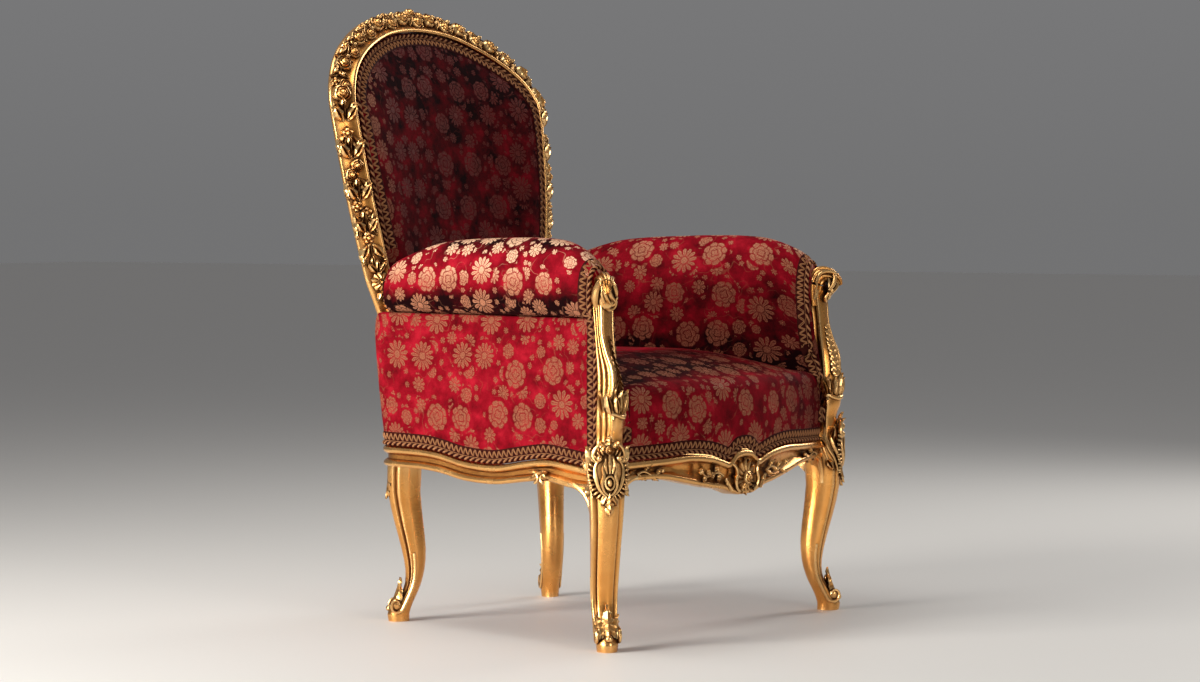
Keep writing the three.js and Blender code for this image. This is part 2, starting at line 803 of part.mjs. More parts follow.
function seatBraid() {
  const rows = frontStations(326).map((x) => {
    const hem = frontRailEdge(Math.abs(x), 1);
    const out = vec(x * 0.0007, -1, 0.08).normalize();
    const low = vec(x, frontLine(x) + 2, hem + 1.5);
    return [low, low.clone().add(vec(0, -1, braidWidth)), out];
  });
  return cut(band(rows), [frontLegRoom(), mirrored(frontLegRoom()), armPostRoom(), mirrored(armPostRoom())]);
}

function sideBraid() {
  const rows = sideStations(11, 4).map((d) => {
    const w = sideRailEdge(d, 1) + 1.5;
    return [sideFabric(d, 2, w), sideFabric(d, 2, w + braidWidth), sideLine(d).outward];
  });
  return cut(band(rows), [frontLegRoom(), armPostRoom()].map(grown));
}

// A point of the arm's section, lifted a little off the fabric, and the direction it faces there.
function overArm(distance, k) {
  const [coreN, coreW, lift] = [-36, 600, 2.5];
  const { point, outward } = sideLine(distance);
  const [n, w] = armSection(distance)[k];
  const away = outward.clone().multiplyScalar(n - coreN).setZ(w - coreW).normalize();
  const place = point.clone().addScaledVector(outward, n).setZ(w).addScaledVector(away, lift);
  return { place, away };
}

// Up the outer side beside the post, over the arm's front end and down the inner side.
function postBraid() {
  const [start, lift] = [16, 3.2];
  const hem = sideRailEdge(start + braidWidth, 1) + braidWidth + 6;
  const rows = [hem, 450, creaseHeight - 12].map((w) => [
    sideFabric(start, lift, w),
    sideFabric(start + braidWidth, lift, w),
    sideLine(start).outward,
  ]);
  const [underRoll, aboveSeat] = [3, 10];
  for (let k = underRoll; k <= aboveSeat; k += 1) {
    const edge = overArm(start, k);
    rows.push([edge.place, overArm(start + braidWidth, k).place, edge.away]);
  }
  return cut(band(rows), [armPostRoom(), seatCushion()].map(grown));
}

function backBraid() {
  const rows = steps(frameStations)
    .filter((t) => Math.abs(t - 0.5) < 0.5 - outlineFraction(680))
    .map((t) => [padPoint(t, -3, 1.5), padPoint(t, -3 - braidWidth, -12), vec(0, -1, 0)]);
  return cut(band(rows), armPair().map(grown));
}

function rearBraid() {
  const rows = steps(frameStations)
    .filter((t) => Math.abs(t - 0.5) < 0.5 - outlineFraction(stileEnd + 8))
    .map((t) => [padPoint(t, -5, 25), padPoint(t, -5 - braidWidth, 30), vec(0, 1, 0)]);
  return band(rows);
}

const group = new THREE.Group();

function add(name, geometry, finish) {
  const mesh = new THREE.Mesh(bare(geometry), new THREE.MeshStandardMaterial(finish));
  mesh.name = name;
  group.add(mesh);
}

function addPair(name, geometry, finish) {
  add(`${name}_left`, mirrored(geometry), finish);
  add(`${name}_right`, geometry, finish);
}

addPair('front_leg', frontLeg(), gilt);
addPair('back_leg', backLeg(), gilt);
add('front_rail', frontRail(), gilt);
addPair('side_rail', sideRail(), gilt);
add('back_rail', backRail(), gilt);
addPair('arm_post', armPost(), gilt);
add('back_frame', backFrame(), gilt);
add('seat_cushion', seatCushion(), velvet);
addPair('arm_cushion', armCushion(), velvet);
addPair('side_panel', sidePanel(), velvet);
add('back_cushion', backCushion(), velvet);
add('back_panel', backPanel(), velvet);
add('seat_braid', seatBraid(), gimp);
addPair('side_braid', sideBraid(), gimp);
addPair('post_braid', postBraid(), gimp);
add('back_braid', backBraid(), gimp);
add('rear_braid', rearBraid(), gimp);

const box = new THREE.Box3().setFromObject(group);
group.position.y = -(box.min.y + box.max.y) / 2;

export default group;
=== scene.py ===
import json
import math
import bpy
import bmesh
import numpy as np
from mathutils import Matrix, Vector
from mathutils.bvhtree import BVHTree


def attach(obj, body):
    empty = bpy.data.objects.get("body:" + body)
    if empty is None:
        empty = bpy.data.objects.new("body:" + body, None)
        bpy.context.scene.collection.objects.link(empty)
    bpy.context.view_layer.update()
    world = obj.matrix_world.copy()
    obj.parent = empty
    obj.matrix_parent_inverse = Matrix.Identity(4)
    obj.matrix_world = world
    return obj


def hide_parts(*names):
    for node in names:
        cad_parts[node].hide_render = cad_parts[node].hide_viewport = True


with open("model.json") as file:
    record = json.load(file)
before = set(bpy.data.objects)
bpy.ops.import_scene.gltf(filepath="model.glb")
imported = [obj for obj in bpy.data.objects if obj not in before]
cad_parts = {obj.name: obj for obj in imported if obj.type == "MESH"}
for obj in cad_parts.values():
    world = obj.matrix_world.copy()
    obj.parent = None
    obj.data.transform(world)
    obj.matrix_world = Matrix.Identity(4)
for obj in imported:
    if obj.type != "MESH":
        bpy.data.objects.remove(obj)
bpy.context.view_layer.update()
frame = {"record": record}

# Shapes are worked out in millimetres with the front feet at y = 0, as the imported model's were,
# and moved over the origin when they become a mesh.
feetY = frame["record"]["mounts"][0]["pos_m"][1] * 1000
rng = np.random.default_rng(11)


# Small tools


def vec(x, y, z):
    return np.array([x, y, z], float)


def unit(v):
    return v / np.linalg.norm(v)


def acrossOf(outward):
    # level and square to a level direction
    return vec(-outward[1], outward[0], 0)


def tapered(middle, loss, count):
    # radii that fall away to both ends
    return [middle - loss * abs(t) for t in np.linspace(-1, 1, count)]


def runLength(points):
    # the distance along a path at each of its points
    return np.concatenate([[0], np.cumsum(np.linalg.norm(np.diff(points, axis=0), axis=1))])


def smoothRows(rows):
    # a smooth function through rows of [position, value, value, ...]
    table = np.array(rows, float)
    slopes = np.zeros_like(table[:, 1:])
    for i in range(len(table)):
        a, b = table[max(i - 1, 0)], table[min(i + 1, len(table) - 1)]
        slopes[i] = (b[1:] - a[1:]) / (b[0] - a[0])

    def value(position, k=1):
        p = min(max(position, table[0, 0]), table[-1, 0])
        i = int(np.clip(np.searchsorted(table[:, 0], p, side="right") - 1, 0, len(table) - 2))
        span = table[i + 1, 0] - table[i, 0]
        t = (p - table[i, 0]) / span
        ease = t * t * (3 - 2 * t)
        start = slopes[i, k - 1] * span * t * (1 - t) ** 2
        end = slopes[i + 1, k - 1] * span * t * t * (t - 1)
        return table[i, k] + (table[i + 1, k] - table[i, k]) * ease + start + end

    return value


def smoothPath(points, count):
    # evenly spaced points of a smooth curve through the given ones
    p = np.array(points, float)
    p = np.vstack([2 * p[0] - p[1], p, 2 * p[-1] - p[-2]])
    dense = []
    for i in range(1, len(p) - 2):
        for t in np.linspace(0, 1, 24, endpoint=False):
            a, b, c, d = p[i - 1], p[i], p[i + 1], p[i + 2]
            dense.append(0.5 * (2 * b + (c - a) * t + (2 * a - 5 * b + 4 * c - d) * t * t
                                + (3 * b - a - 3 * c + d) * t ** 3))
    dense.append(p[-2])
    dense = np.array(dense)
    length = runLength(dense)
    at = np.linspace(0, length[-1], count)
    return np.stack([np.interp(at, length, dense[:, k]) for k in range(dense.shape[1])], axis=1)


def between(value, low, high):
    t = np.clip((value - low) / (high - low), 0, 1)
    return t * t * (3 - 2 * t)


def deselectAll():
    if bpy.context.object and bpy.context.object.mode != "OBJECT":
        bpy.ops.object.mode_set(mode="OBJECT")
    bpy.ops.object.select_all(action="DESELECT")


def choose(*objects):
    # selects these objects alone, the last of them active
    deselectAll()
    for obj in objects:
        obj.select_set(True)
    bpy.context.view_layer.objects.active = objects[-1]


def turnOutward():
    # the faces of the active mesh all point outwards
    bpy.ops.object.mode_set(mode="EDIT")
    bpy.ops.mesh.select_all(action="SELECT")
    bpy.ops.mesh.normals_make_consistent(inside=False)
    bpy.ops.object.mode_set(mode="OBJECT")


def takeParts(obj):
    # the object's points and faces, and the object goes
    points = np.array([v.co for v in obj.data.vertices], float)
    faces = [tuple(p.vertices) for p in obj.data.polygons]
    bpy.data.objects.remove(obj, do_unlink=True)
    return points, faces


def place(part, origin, along, outward, size=(1, 1, 1)):
    # a carving made along +x and rising along +z, put on a surface
    points, faces = part
    z = unit(np.array(outward, float))
    y = unit(np.cross(z, along))
    x = np.cross(y, z)
    return (points * np.array(size)) @ np.array([x, y, z]) + origin, faces


def mirrorParts(parts):
    return [(points * [-1, 1, 1], [tuple(reversed(f)) for f in faces]) for points, faces in parts]


def makePiece(name, parts, angle=35):
    points = np.vstack([p for p, _ in parts])
    faces = []
    base = 0
    for p, polys in parts:
        faces += [tuple(i + base for i in f) for f in polys]
        base += len(p)
    mesh = bpy.data.meshes.new(name)
    mesh.from_pydata((points + [0, feetY, 0]) * 0.001, [], faces)
    mesh.validate()
    piece = bpy.data.objects.new(name, mesh)
    bpy.context.collection.objects.link(piece)
    choose(piece)
    bpy.ops.object.shade_smooth_by_angle(angle=math.radians(angle))
    return piece


def extrudeRings(rings):
    # a circle, extruded ring by ring as it is shaped, with both ends closed
    deselectAll()
    bpy.ops.mesh.primitive_circle_add(vertices=len(rings[0]), radius=1, fill_type="NGON")
    body = bpy.context.object
    bpy.ops.object.mode_set(mode="EDIT")
    for i, ring in enumerate(rings):
        if i:
            bpy.ops.mesh.extrude_region_move(TRANSFORM_OT_translate={"value": (0, 0, 1)})
        mesh = bmesh.from_edit_mesh(body.data)
        end = next(f for f in mesh.faces if f.select)
        for v, p in zip(end.verts, ring):
            v.co = p
        if i == 0:
            start = [v.index for v in end.verts]
    bpy.ops.object.mode_set(mode="OBJECT")
    hasStart = any(set(p.vertices) == set(start) for p in body.data.polygons)
    if not hasStart:
        bpy.ops.object.mode_set(mode="EDIT")
        bpy.ops.mesh.select_all(action="DESELECT")
        mesh = bmesh.from_edit_mesh(body.data)
        mesh.verts.ensure_lookup_table()
        mesh.faces.new([mesh.verts[i] for i in reversed(start)])
        bmesh.update_edit_mesh(body.data)
    turnOutward()
    return takeParts(body)


def bentRod(path, radii, sides=2):
    # a tapered rod along a path, from a curve with a round bevel
    curve = bpy.data.curves.new("rod", "CURVE")
    curve.dimensions = "3D"
    curve.bevel_depth = 1
    curve.bevel_resolution = sides
    curve.use_fill_caps = True
    spline = curve.splines.new("POLY")
    spline.points.add(len(path) - 1)
    for point, spot, radius in zip(spline.points, path, radii):
        point.co = (*spot, 1)
        point.radius = radius
    rod = bpy.data.objects.new("rod", curve)
    bpy.context.collection.objects.link(rod)
    choose(rod)
    bpy.ops.object.convert(target="MESH")
    rod = bpy.context.object
    bpy.ops.object.mode_set(mode="EDIT")
    bpy.ops.mesh.select_all(action="SELECT")
    bpy.ops.mesh.remove_doubles(threshold=0.001)
    bpy.ops.object.mode_set(mode="OBJECT")
    return takeParts(rod)


# Driving sizes of the chair, in mm
chair = {
    "frontFootX": 370,
    "backFootX": 240,
    "backFootY": 563,
    "frontLegTop": 326,
    "backLegTop": 300,
    "sideFront": (372, 20),
    "rearCorner": (290, 535),
    "cornerRadius": 55,
    "railThickness": 26,
    "frontBow": 45,
    "frontRailX": 352,
    "creaseHeight": 577,
    "rollTop": 712,
    "rollEnd": 536,
    "rollOverhang": 24,
    "seatEdge": 462,
    "seatCrown": 506,
    "leanDegrees": 11,
    "backFront": (560, 620),
    "backBow": 47,
    "backHalfWidth": 286,
    "frameWidth": 40,
    "frameDepth": 34,
    "stileEnd": 552,
    "archTop": 1107,
    "panelThickness": 14,
    "braidWidth": 26,
}

frontRailEdge = smoothRows([
    [0, 331, 250], [26, 327, 251], [48, 312, 257], [70, 317, 263], [105, 325, 268],
    [160, 330, 278], [235, 328, 291], [352, 325, 293],
])
sideRailEdge = smoothRows([
    [0, 314, 278], [67, 322, 280], [120, 327, 288], [177, 321, 284], [253, 310, 275],
    [330, 313, 277], [400, 325, 288], [460, 329, 292], [760, 329, 292],
])


def frontLine(x):
    return -chair["frontBow"] * (1 - (x / chair["frontRailX"]) ** 2)


# The side in plan: straight from the arm post to the rear corner, then round it
sideStart = np.array([*chair["sideFront"], 0], float)
sideCorner = np.array([*chair["rearCorner"], 0], float)
sideRun = np.linalg.norm(sideCorner - sideStart)
sideAlong = unit(sideCorner - sideStart)
sideOutward = vec(sideAlong[1], -sideAlong[0], 0)
cornerTurn = math.atan2(sideAlong[1], -sideAlong[0])
sideEnd = sideRun + chair["cornerRadius"] * cornerTurn


def sideLine(distance):
    point = sideStart + sideAlong * min(distance, sideRun)
    if distance <= sideRun:
        return point, sideOutward
    turn = min((distance - sideRun) / chair["cornerRadius"], cornerTurn)
    centre = point - sideOutward * chair["cornerRadius"]
    c, s = math.cos(turn), math.sin(turn)
    x, y = sideOutward[:2]
    outward = vec(x * c - y * s, x * s + y * c, 0)
    return centre + outward * chair["cornerRadius"], outward


sideLean = smoothRows([[0, 0], [330, 0], [sideRun, 1], [900, 1]])


def sideFabric(distance, n, w):
    point, outward = sideLine(distance)
    rise = w - sideRailEdge(distance)
    spot = point + outward * n
    return vec(spot[0], spot[1] + sideLean(distance) * rise * 0.11, w)


# The back: an arched outline in a plane that leans, bowed to the rear between the stiles
leanSlope = math.tan(math.radians(chair["leanDegrees"]))


def backY(x, z):
    bow = 1 - min(abs(x) / chair["backHalfWidth"], 1) ** 2.3
    return chair["backFront"][0] + (z - chair["backFront"][1]) * leanSlope + chair["backBow"] * bow


archTop = chair["archTop"]
outlineHalf = [
    (230, chair["stileEnd"]), (239, 620), (252, 693), (272, 802), (286, archTop - 160),
    (278, archTop - 120), (249, archTop - 82), (194, archTop - 46), (126, archTop - 18),
    (70, archTop - 5), (0, archTop),
]
outlinePoints = [(-x, 0, z) for x, z in outlineHalf] + [(x, 0, z) for x, z in outlineHalf[-2::-1]]
outlineDense = smoothPath(outlinePoints, 400)


def outlineAt(t):
    k = t * (len(outlineDense) - 1)
    return vec(*[np.interp(k, np.arange(len(outlineDense)), outlineDense[:, i]) for i in range(3)])


def outlineAlong(t):
    return unit(outlineAt(min(t + 0.004, 1)) - outlineAt(max(t - 0.004, 0)))


def outlineOutward(t):
    along = outlineAlong(t)
    return vec(-along[2], 0, along[0])


def outlineFraction(z):
    # the place on the left half of the outline at a height
    low, high = 0.0, 0.5
    for _ in range(30):
        middle = (low + high) / 2
        if outlineAt(middle)[2] < z:
            low = middle
        else:
            high = middle
    return low


def framePoint(t, n, depth):
    edge = outlineAt(t)
    point = edge + outlineOutward(t) * n
    return vec(point[0], backY(edge[0], point[2]) + depth, point[2])


def padPoint(t, n, depth):
    point = framePoint(t, n, 0)
    return vec(point[0], backY(point[0], point[2]) + depth, point[2])


# Carver's stock: each shape is made once, about one unit long, and copied


def carveLeaf(lobes=4, curl=0.2, cut=0.3, veins=0.05, groove=0.0):
    deselectAll()
    bpy.ops.mesh.primitive_grid_add(x_subdivisions=16, y_subdivisions=6, size=2)
    leafObject = bpy.context.object
    for v in leafObject.data.vertices:
        u, s = (v.co.x + 1) / 2, v.co.y
        saw = (u * lobes) % 1 if u < 0.99 else 0
        half = 0.5 * math.sin(math.pi * min(u + 0.04, 1) ** 0.8) ** 0.75 * (1 - cut * saw)
        ridge = 0.13 * (1 - abs(s)) ** 1.4
        ridge += groove * ((1 - (2 * abs(s) - 1) ** 2) * math.sin(math.pi * min(u + 0.05, 1)) - 0.13)
        ripple = veins * math.cos(2 * math.pi * lobes * u) * abs(s)
        v.co = (u + 0.09 * s * s * (1 - u), s * half, ridge + ripple - 0.1 * s * s + curl * u ** 2.5)
    bpy.ops.object.modifier_add(type="SOLIDIFY")
    leafObject.modifiers[0].thickness = 0.1
    leafObject.modifiers[0].offset = -1
    bpy.ops.object.modifier_apply(modifier=leafObject.modifiers[0].name)
    return takeParts(leafObject)


def carveDome(shape, segments=30, rings=16):
    # half a ball, cut flat below, whose points are moved by shape(share of the radius, angle)
    deselectAll()
    bpy.ops.mesh.primitive_uv_sphere_add(segments=segments, ring_count=rings, radius=1)
    dome = bpy.context.object
    bpy.ops.object.mode_set(mode="EDIT")
    bpy.ops.mesh.select_all(action="SELECT")
    bpy.ops.mesh.bisect(plane_co=(0, 0, -0.2), plane_no=(0, 0, 1), clear_inner=True, use_fill=True)
    bpy.ops.object.mode_set(mode="OBJECT")
    for v in dome.data.vertices:
        angle = math.atan2(v.co.y, v.co.x)
        share = math.acos(np.clip(v.co.z, 0, 1)) / (math.pi / 2)
        r, z = shape(share, angle)
        if v.co.z < -0.05:
            z = -0.3
        v.co = (r * math.cos(angle), r * math.sin(angle), z)
    return takeParts(dome)


def roseShape(share, angle):
    petals = abs(math.sin(2.5 * angle))
    inner = abs(math.cos(2.5 * angle))
    edge = 0.84 + 0.16 * petals ** 0.5
    first = 0.62 + 0.05 * inner
    second = 0.34 + 0.04 * petals
    if share > first:
        t = (share - first) / (1 - first)
        height = 0.12 + 0.33 * math.sin(math.pi * min(t * 0.85 + 0.12, 1)) - 0.12 * (1 - petals) ** 4
    elif share > second:
        t = (share - second) / (first - second)
        height = 0.36 + 0.26 * math.sin(math.pi * (t * 0.8 + 0.15)) - 0.1 * (1 - inner) ** 4
    else:
        t = share / second
        height = 0.52 + 0.22 * math.sin(math.pi * (t * 0.7 + 0.25)) + 0.04 * math.sin(angle * 2 + t * 5)
    return share * edge, height


def flowerShape(share, angle):
    petals = abs(math.cos(2.5 * angle)) ** 0.5
    edge = 0.5 + 0.5 * petals
    if share < 0.3:
        return share * 0.9, 0.42 + 0.16 * math.cos(share / 0.3 * math.pi / 2)
    t = (share - 0.3) / 0.7
    height = 0.22 + 0.2 * math.sin(math.pi * t) * petals - 0.12 * (1 - petals)
    return 0.27 + (edge - 0.27) * t, height * (1 - t ** 6)


def shellShape(share, angle):
    ribs = abs(math.cos(5 * angle))
    return share * (0.85 + 0.15 * ribs), 0.45 * math.cos(share * 1.35) * (0.6 + 0.4 * ribs)


def eggShape(share, angle):
    return math.sin(share * math.pi / 2), math.cos(share * math.pi / 2)


print("carving the stock shapes")
acanthus = carveLeaf(lobes=4, curl=0.22, cut=0.34, veins=0.06)
frond = carveLeaf(lobes=3, curl=0.3, cut=0.2, veins=0.02, groove=0.3)
laurel = carveLeaf(lobes=1, curl=0.08, cut=0.0, veins=0.0)
rose = carveDome(roseShape, 30, 20)
flower = carveDome(flowerShape, 30, 14)
shell = carveDome(shellShape, 40, 14)
berry = carveDome(eggShape, 10, 8)


# Legs, made in the leg's own plane and turned to the diagonal
legs = {
    "sides": 72,
    "backScale": 0.93,
    "beadAngle": 68,
    "beadRise": 3.2,
    "grooveAngle": 50,
    "grooveDepth": 4.2,
    "toeLeaf": 60,
}
legShape = smoothRows([
    [0, 0, 20, 17], [14, 1, 21, 18.5], [34, -9, 18, 19], [60, -25, 15, 19.5],
    [93, -32, 18, 21], [132, -30, 23, 23], [190, -19, 28, 25], [240, -11, 31, 27.5],
    [290, -12, 33, 30], [328, -13, 32, 30],
])


def legRing(z, scale, foot, outward):
    across = acrossOf(outward)
    ring = []
    fade = min(max((z - 30) / 25, 0), 1)
    for i in range(legs["sides"]):
        a = 2 * math.pi * i / legs["sides"]
        # four soft edges with shallow hollows between them
        swell = 0.965 + 0.085 * abs(math.cos(2 * a)) ** 3
        c, s = math.cos(a), math.sin(a)
        # on each side a bead with a groove in front of it
        turned = abs(math.degrees(math.atan2(s, c)))
        line = legs["beadRise"] * math.exp(-((turned - legs["beadAngle"]) / 7) ** 2)
        line -= legs["grooveDepth"] * math.exp(-((turned - legs["grooveAngle"]) / 6) ** 2)
        u = math.copysign(abs(c) ** 0.86, c) * swell
        v = math.copysign(abs(s) ** 0.86, s) * swell
        u = (legShape(z, 1) + legShape(z, 2) * u + c * line * fade) * scale
        v = (legShape(z, 3) * v + s * line * fade) * scale
        ring.append(foot + outward * u + across * v + vec(0, 0, z))
    return ring


def legBody(top, scale, foot, outward):
    heights = [0, 3, 12, 17, 24, 34, 46, 58, 70, 84, 98, 115, 135, 160, 185, 212, 240, 270, 300]
    heights = [z for z in heights if z < top - 12] + [top]
    return extrudeRings([legRing(z, scale, foot, outward) for z in heights])


def toeScroll(scale, foot, outward, side):
    # the side bead runs down to the toe and curls under it
    across = acrossOf(outward)
    path = []
    for z in (128, 100, 76, 56):
        u = legShape(z, 1) + legShape(z, 2) * 0.1
        path.append((u, legShape(z, 3) * 0.98, z))
    for t in np.linspace(0, 1, 11):
        a = math.radians(200 + 330 * t)
        radius = 15.5 * (1 - 0.6 * t)
        path.append((7 + radius * 0.92 * math.cos(a), 19.5 + 2 * t, 31 + radius * math.sin(a)))
    path = smoothPath(path, 44)
    points = [foot + (outward * u + across * (side * v)) * scale + vec(0, 0, z) for u, v, z in path]
    rod = bentRod(points, [3.1 + 1.0 * math.sin(math.pi * t) - 0.9 * t for t in np.linspace(0, 1, 44)])
    heart = foot + (outward * 7 + across * (side * 16)) * scale + vec(0, 0, 31)
    return [rod, place(berry, heart, vec(0, 0, 1), across * side, (11, 10, 6))]


def toeLeaves(scale, foot, outward):
    across = acrossOf(outward)
    parts = []
    for side, length, lean in ((-0.62, 44, 0.28), (0.62, 44, 0.28), (0, legs["toeLeaf"], 0)):
        root = foot + (outward * (17 - 3 * abs(side)) + across * (side * 17)) * scale + vec(0, 0, 24)
        upward = outward * -0.52 + across * (side * lean) + vec(0, 0, 1)
        parts.append(place(acanthus, root, upward, outward + across * side + vec(0, 0, 0.45), (length, 25, 24)))
    parts.append(place(berry, foot + outward * 20 * scale + vec(0, 0, 24), vec(0, 0, 1), outward, (6, 7, 6)))
    return parts


cartouche = {
    "halfWidth": 31,
    "halfHeight": 47,
    "height": 309,
    "reach": 20,
    "ribs": 29,
}
knees = {
    "faceReach": 30.5,
    "sideBracketFoot": 228,
    "sideBracketReach": 56,
    "frontBracketFoot": 244,
    "frontBracketReach": 40,
    "bracketBead": 5.0,
}


def kneeCartouche(foot, outward):
    across = acrossOf(outward)
    up = vec(0, 0, 1)
    halfWidth, halfHeight = cartouche["halfWidth"], cartouche["halfHeight"]
    heart = foot + outward * cartouche["reach"] + up * cartouche["height"]

    def at(v, w, depth=0.0):
        return heart + across * v + up * w + outward * (depth - v * v / 120)

    def rod(rows, thick, count=26):
        path = smoothPath([at(*row) for row in rows], count)
        return bentRod(path, tapered(1.15 * thick, 0.6 * thick, count))

    parts = [place(berry, at(0, 0, -6), up, outward, (halfHeight - 4, halfWidth - 2, 11))]
    # ribbed border, like the edge of a shell
    ribs = cartouche["ribs"]
    for i in range(ribs):
        a = (-0.36 + 1.72 * i / (ribs - 1)) * math.pi
        v, w = math.cos(a), -math.sin(a)
        way = across * v + up * w
        middle = at(v * (halfWidth - 1), w * (halfHeight - 4), 0)
        parts.append(place(berry, middle, way + up * 0.2, outward + way * 0.2, (8.5, 2.9, 6)))
    # strands that frame the hollow, the crest and its shoulders
    for side in (-1, 1):
        parts.append(rod([(side * 3, 50, 3), (side * 13, 54, 3), (side * 24, 44, 3), (side * 27, 30, 3),
                          (side * 20, 22, 5), (side * 15, 28, 6)], 3.2))
        parts.append(rod([(side * 7, 24, 7), (side * 12, 12, 8), (side * 10, -2, 8), (side * 13, -16, 8),
                          (side * 9, -29, 7), (side * 2, -36, 6)], 3.0))
        parts.append(rod([(side * 18, 27, 4), (side * 24, 12, 4), (side * 23, -6, 5), (side * 17, -25, 5),
                          (side * 6, -38, 4)], 3.8))
        parts.append(rod([(side * 6, 28, 6), (side * 7, 14, 8), (side * 5, 2, 8)], 3.2))
        parts.append(place(berry, at(side * 17, 28, 4), up, outward, (6.5, 6, 7)))
        parts.append(place(acanthus, at(side * 4, 44, 3), across * side * 0.8 + up * 0.8, outward, (21, 14, 20)))
    parts.append(rod([(0, 34, 6), (0, 18, 9), (0, 2, 8)], 3.4))
    parts.append(place(acanthus, at(0, 46, 3), up, outward, (24, 15, 22)))
    parts.append(place(rose, at(0, 42, 5), up, outward, (8, 8, 10)))
    # the cabochon in its ring
    ring = [at(8 * math.cos(a), -14 + 11.5 * math.sin(a), 9) for a in np.linspace(0, 2 * math.pi, 25)]
    parts.append(bentRod(ring, [2.0] * 25))
    parts.append(place(berry, at(0, -14, 6), up, outward, (8, 5, 7)))
    # the pendant
    for side in (-0.5, 0.5):
        parts.append(place(laurel, at(side * 9, -36, 4), across * side - up, outward, (22, 11, 20)))
    parts.append(place(acanthus, at(0, -32, 5), up * -1, outward, (34, 18, 22)))
    parts.append(place(laurel, at(0, -52, 4), up * -1, outward, (20, 15, 24)))
    return parts


def kneeBracket(edge, thick, inward):
    # the curved bracket between a rail and the leg, with a bead along its edge
    top = vec(edge[0][0], edge[0][1], edge[-1][2])
    rings = []
    for depth in np.linspace(0, thick, 4):
        rings.append([p + inward * depth for p in edge + [top]])
    bead = bentRod([p + vec(0, 0, 1.5) for p in edge], [knees["bracketBead"]] * len(edge), 3)
    return [extrudeRings(rings), bead]


def frontLegParts():
    foot = vec(chair["frontFootX"], 0, 0)
    outward = unit(vec(1, -1, 0))
    parts = [legBody(chair["frontLegTop"], 1, foot, outward)]
    for side in (-1, 1):
        parts += toeScroll(1, foot, outward, side)
    parts += toeLeaves(1, foot, outward) + kneeCartouche(foot, outward)
    # strands and leaves on the faces beside it
    across = acrossOf(outward)
    for side in (-1, 1):
        face = across * side

        def on(u, w, lift=0.0):
            return foot + outward * u + face * (knees["faceReach"] + lift) + vec(0, 0, w)

        for rows, thick in (([(-14, 352, -4), (-15, 334, 0), (-8, 312, 1), (4, 292, 0), (12, 268, -3)], 2.6),
                            ([(-3, 352, -3), (-5, 336, 1), (1, 318, 2), (10, 300, 1), (16, 280, -3)], 3.2),
                            ([(-18, 338, -2), (-19, 318, 0), (-12, 298, 0), (-2, 278, -2)], 2.2)):
            path = smoothPath([on(*row) for row in rows], 30)
            swell = [1 + thick * math.sin(math.pi * t) ** 0.8 for t in np.linspace(0.03, 0.97, 30)]
            parts.append(bentRod(path, swell, 3))
        for u, w, lean, length in ((-4, 322, 0.2, 36), (-12, 312, -0.6, 26), (-12, 292, 2.6, 26)):
            way = outward * math.sin(lean) + vec(0, 0, math.cos(lean))
            parts.append(place(frond, on(u, w), way, face, (length, 18, 24)))
    # brackets towards the side rail and the front rail
    side, front = [], []
    for a in np.linspace(0, math.pi / 2, 12):
        along, rise = 1 - math.cos(a), math.sin(a)
        low, reach = knees["sideBracketFoot"], knees["sideBracketReach"]
        point, way = sideLine(10 + reach * along)
        side.append(point + way + vec(0, 0, low + (sideRailEdge(10 + reach, 2) + 4 - low) * rise))
        low, reach = knees["frontBracketFoot"], knees["frontBracketReach"]
        x = 340 - reach * along
        front.append(vec(x, frontLine(x) - 1, low + (frontRailEdge(340 - reach, 2) + 4 - low) * rise))
    parts += kneeBracket(side, 22, -sideOutward) + kneeBracket(front, 20, vec(0, 1, 0))
    return parts


def backLegParts():
    foot = vec(chair["backFootX"], chair["backFootY"], 0)
    outward = unit(vec(1, 1, 0))
    scale = legs["backScale"]
    parts = [legBody(chair["backLegTop"], scale, foot, outward)]
    for side in (-1, 1):
        parts += toeScroll(scale, foot, outward, side)
    parts += toeLeaves(scale, foot, outward)
    # a long leaf laid over the knee
    knee = foot + outward * 18 + vec(0, 0, 290)
    parts.append(place(acanthus, knee, outward * 0.12 - vec(0, 0, 1), outward, (62, 30, 22)))
    return parts


# Seat rails
rails = {
    "topBead": 6.5,
    "lowBead": 5.5,
    "cove": 4.5,
}


def railRing(top, bottom):
    # n outward and w up, round the rail: flat top, round bead, cove, lower bead, flat below
    mid = (top + bottom) / 2
    bead, low = rails["topBead"], rails["lowBead"]
    ring = [(-chair["railThickness"], top), (-4, top)]
    for a in np.linspace(100, -80, 7):
        ring.append((-0.5 + bead * 0.85 * math.cos(math.radians(a)), top - bead + bead * math.sin(math.radians(a))))
    ring.append((-1.5, top - 2 * bead - 1.5))
    ring.append((-rails["cove"], mid + 3))
    ring.append((-rails["cove"], mid - 5))
    ring.append((-1.0, bottom + 2 * low + 1.5))
    for a in np.linspace(75, -95, 7):
        ring.append((-0.5 + low * 0.85 * math.cos(math.radians(a)), bottom + low + low * math.sin(math.radians(a))))
    ring.append((-chair["railThickness"], bottom))
    return ring


def vine(spot, along, outward, reach, side, leaves=5):
    # a wavy stem with leaves to both sides and curled ends
    across = unit(np.cross(outward, along))
    path = [spot + along * (reach * t) + across * (4.5 * side * math.sin(2.2 * math.pi * t)) + outward * 1.5
            for t in np.linspace(0, 1, 24)]
    parts = [bentRod(path, np.linspace(2.6, 1.04, 24))]
    for i in range(leaves):
        t = (i + 0.3) / leaves
        turn = (1 if i % 2 else -1) * side * 0.75
        way = unit(along + across * turn)
        size = 21 - 5 * t
        root = path[int(t * 23)]
        parts.append(place(acanthus, root, way, outward, (size, size * 0.62, size)))
    parts.append(place(berry, path[-1], along, outward, (4, 4, 4.5)))
    return parts


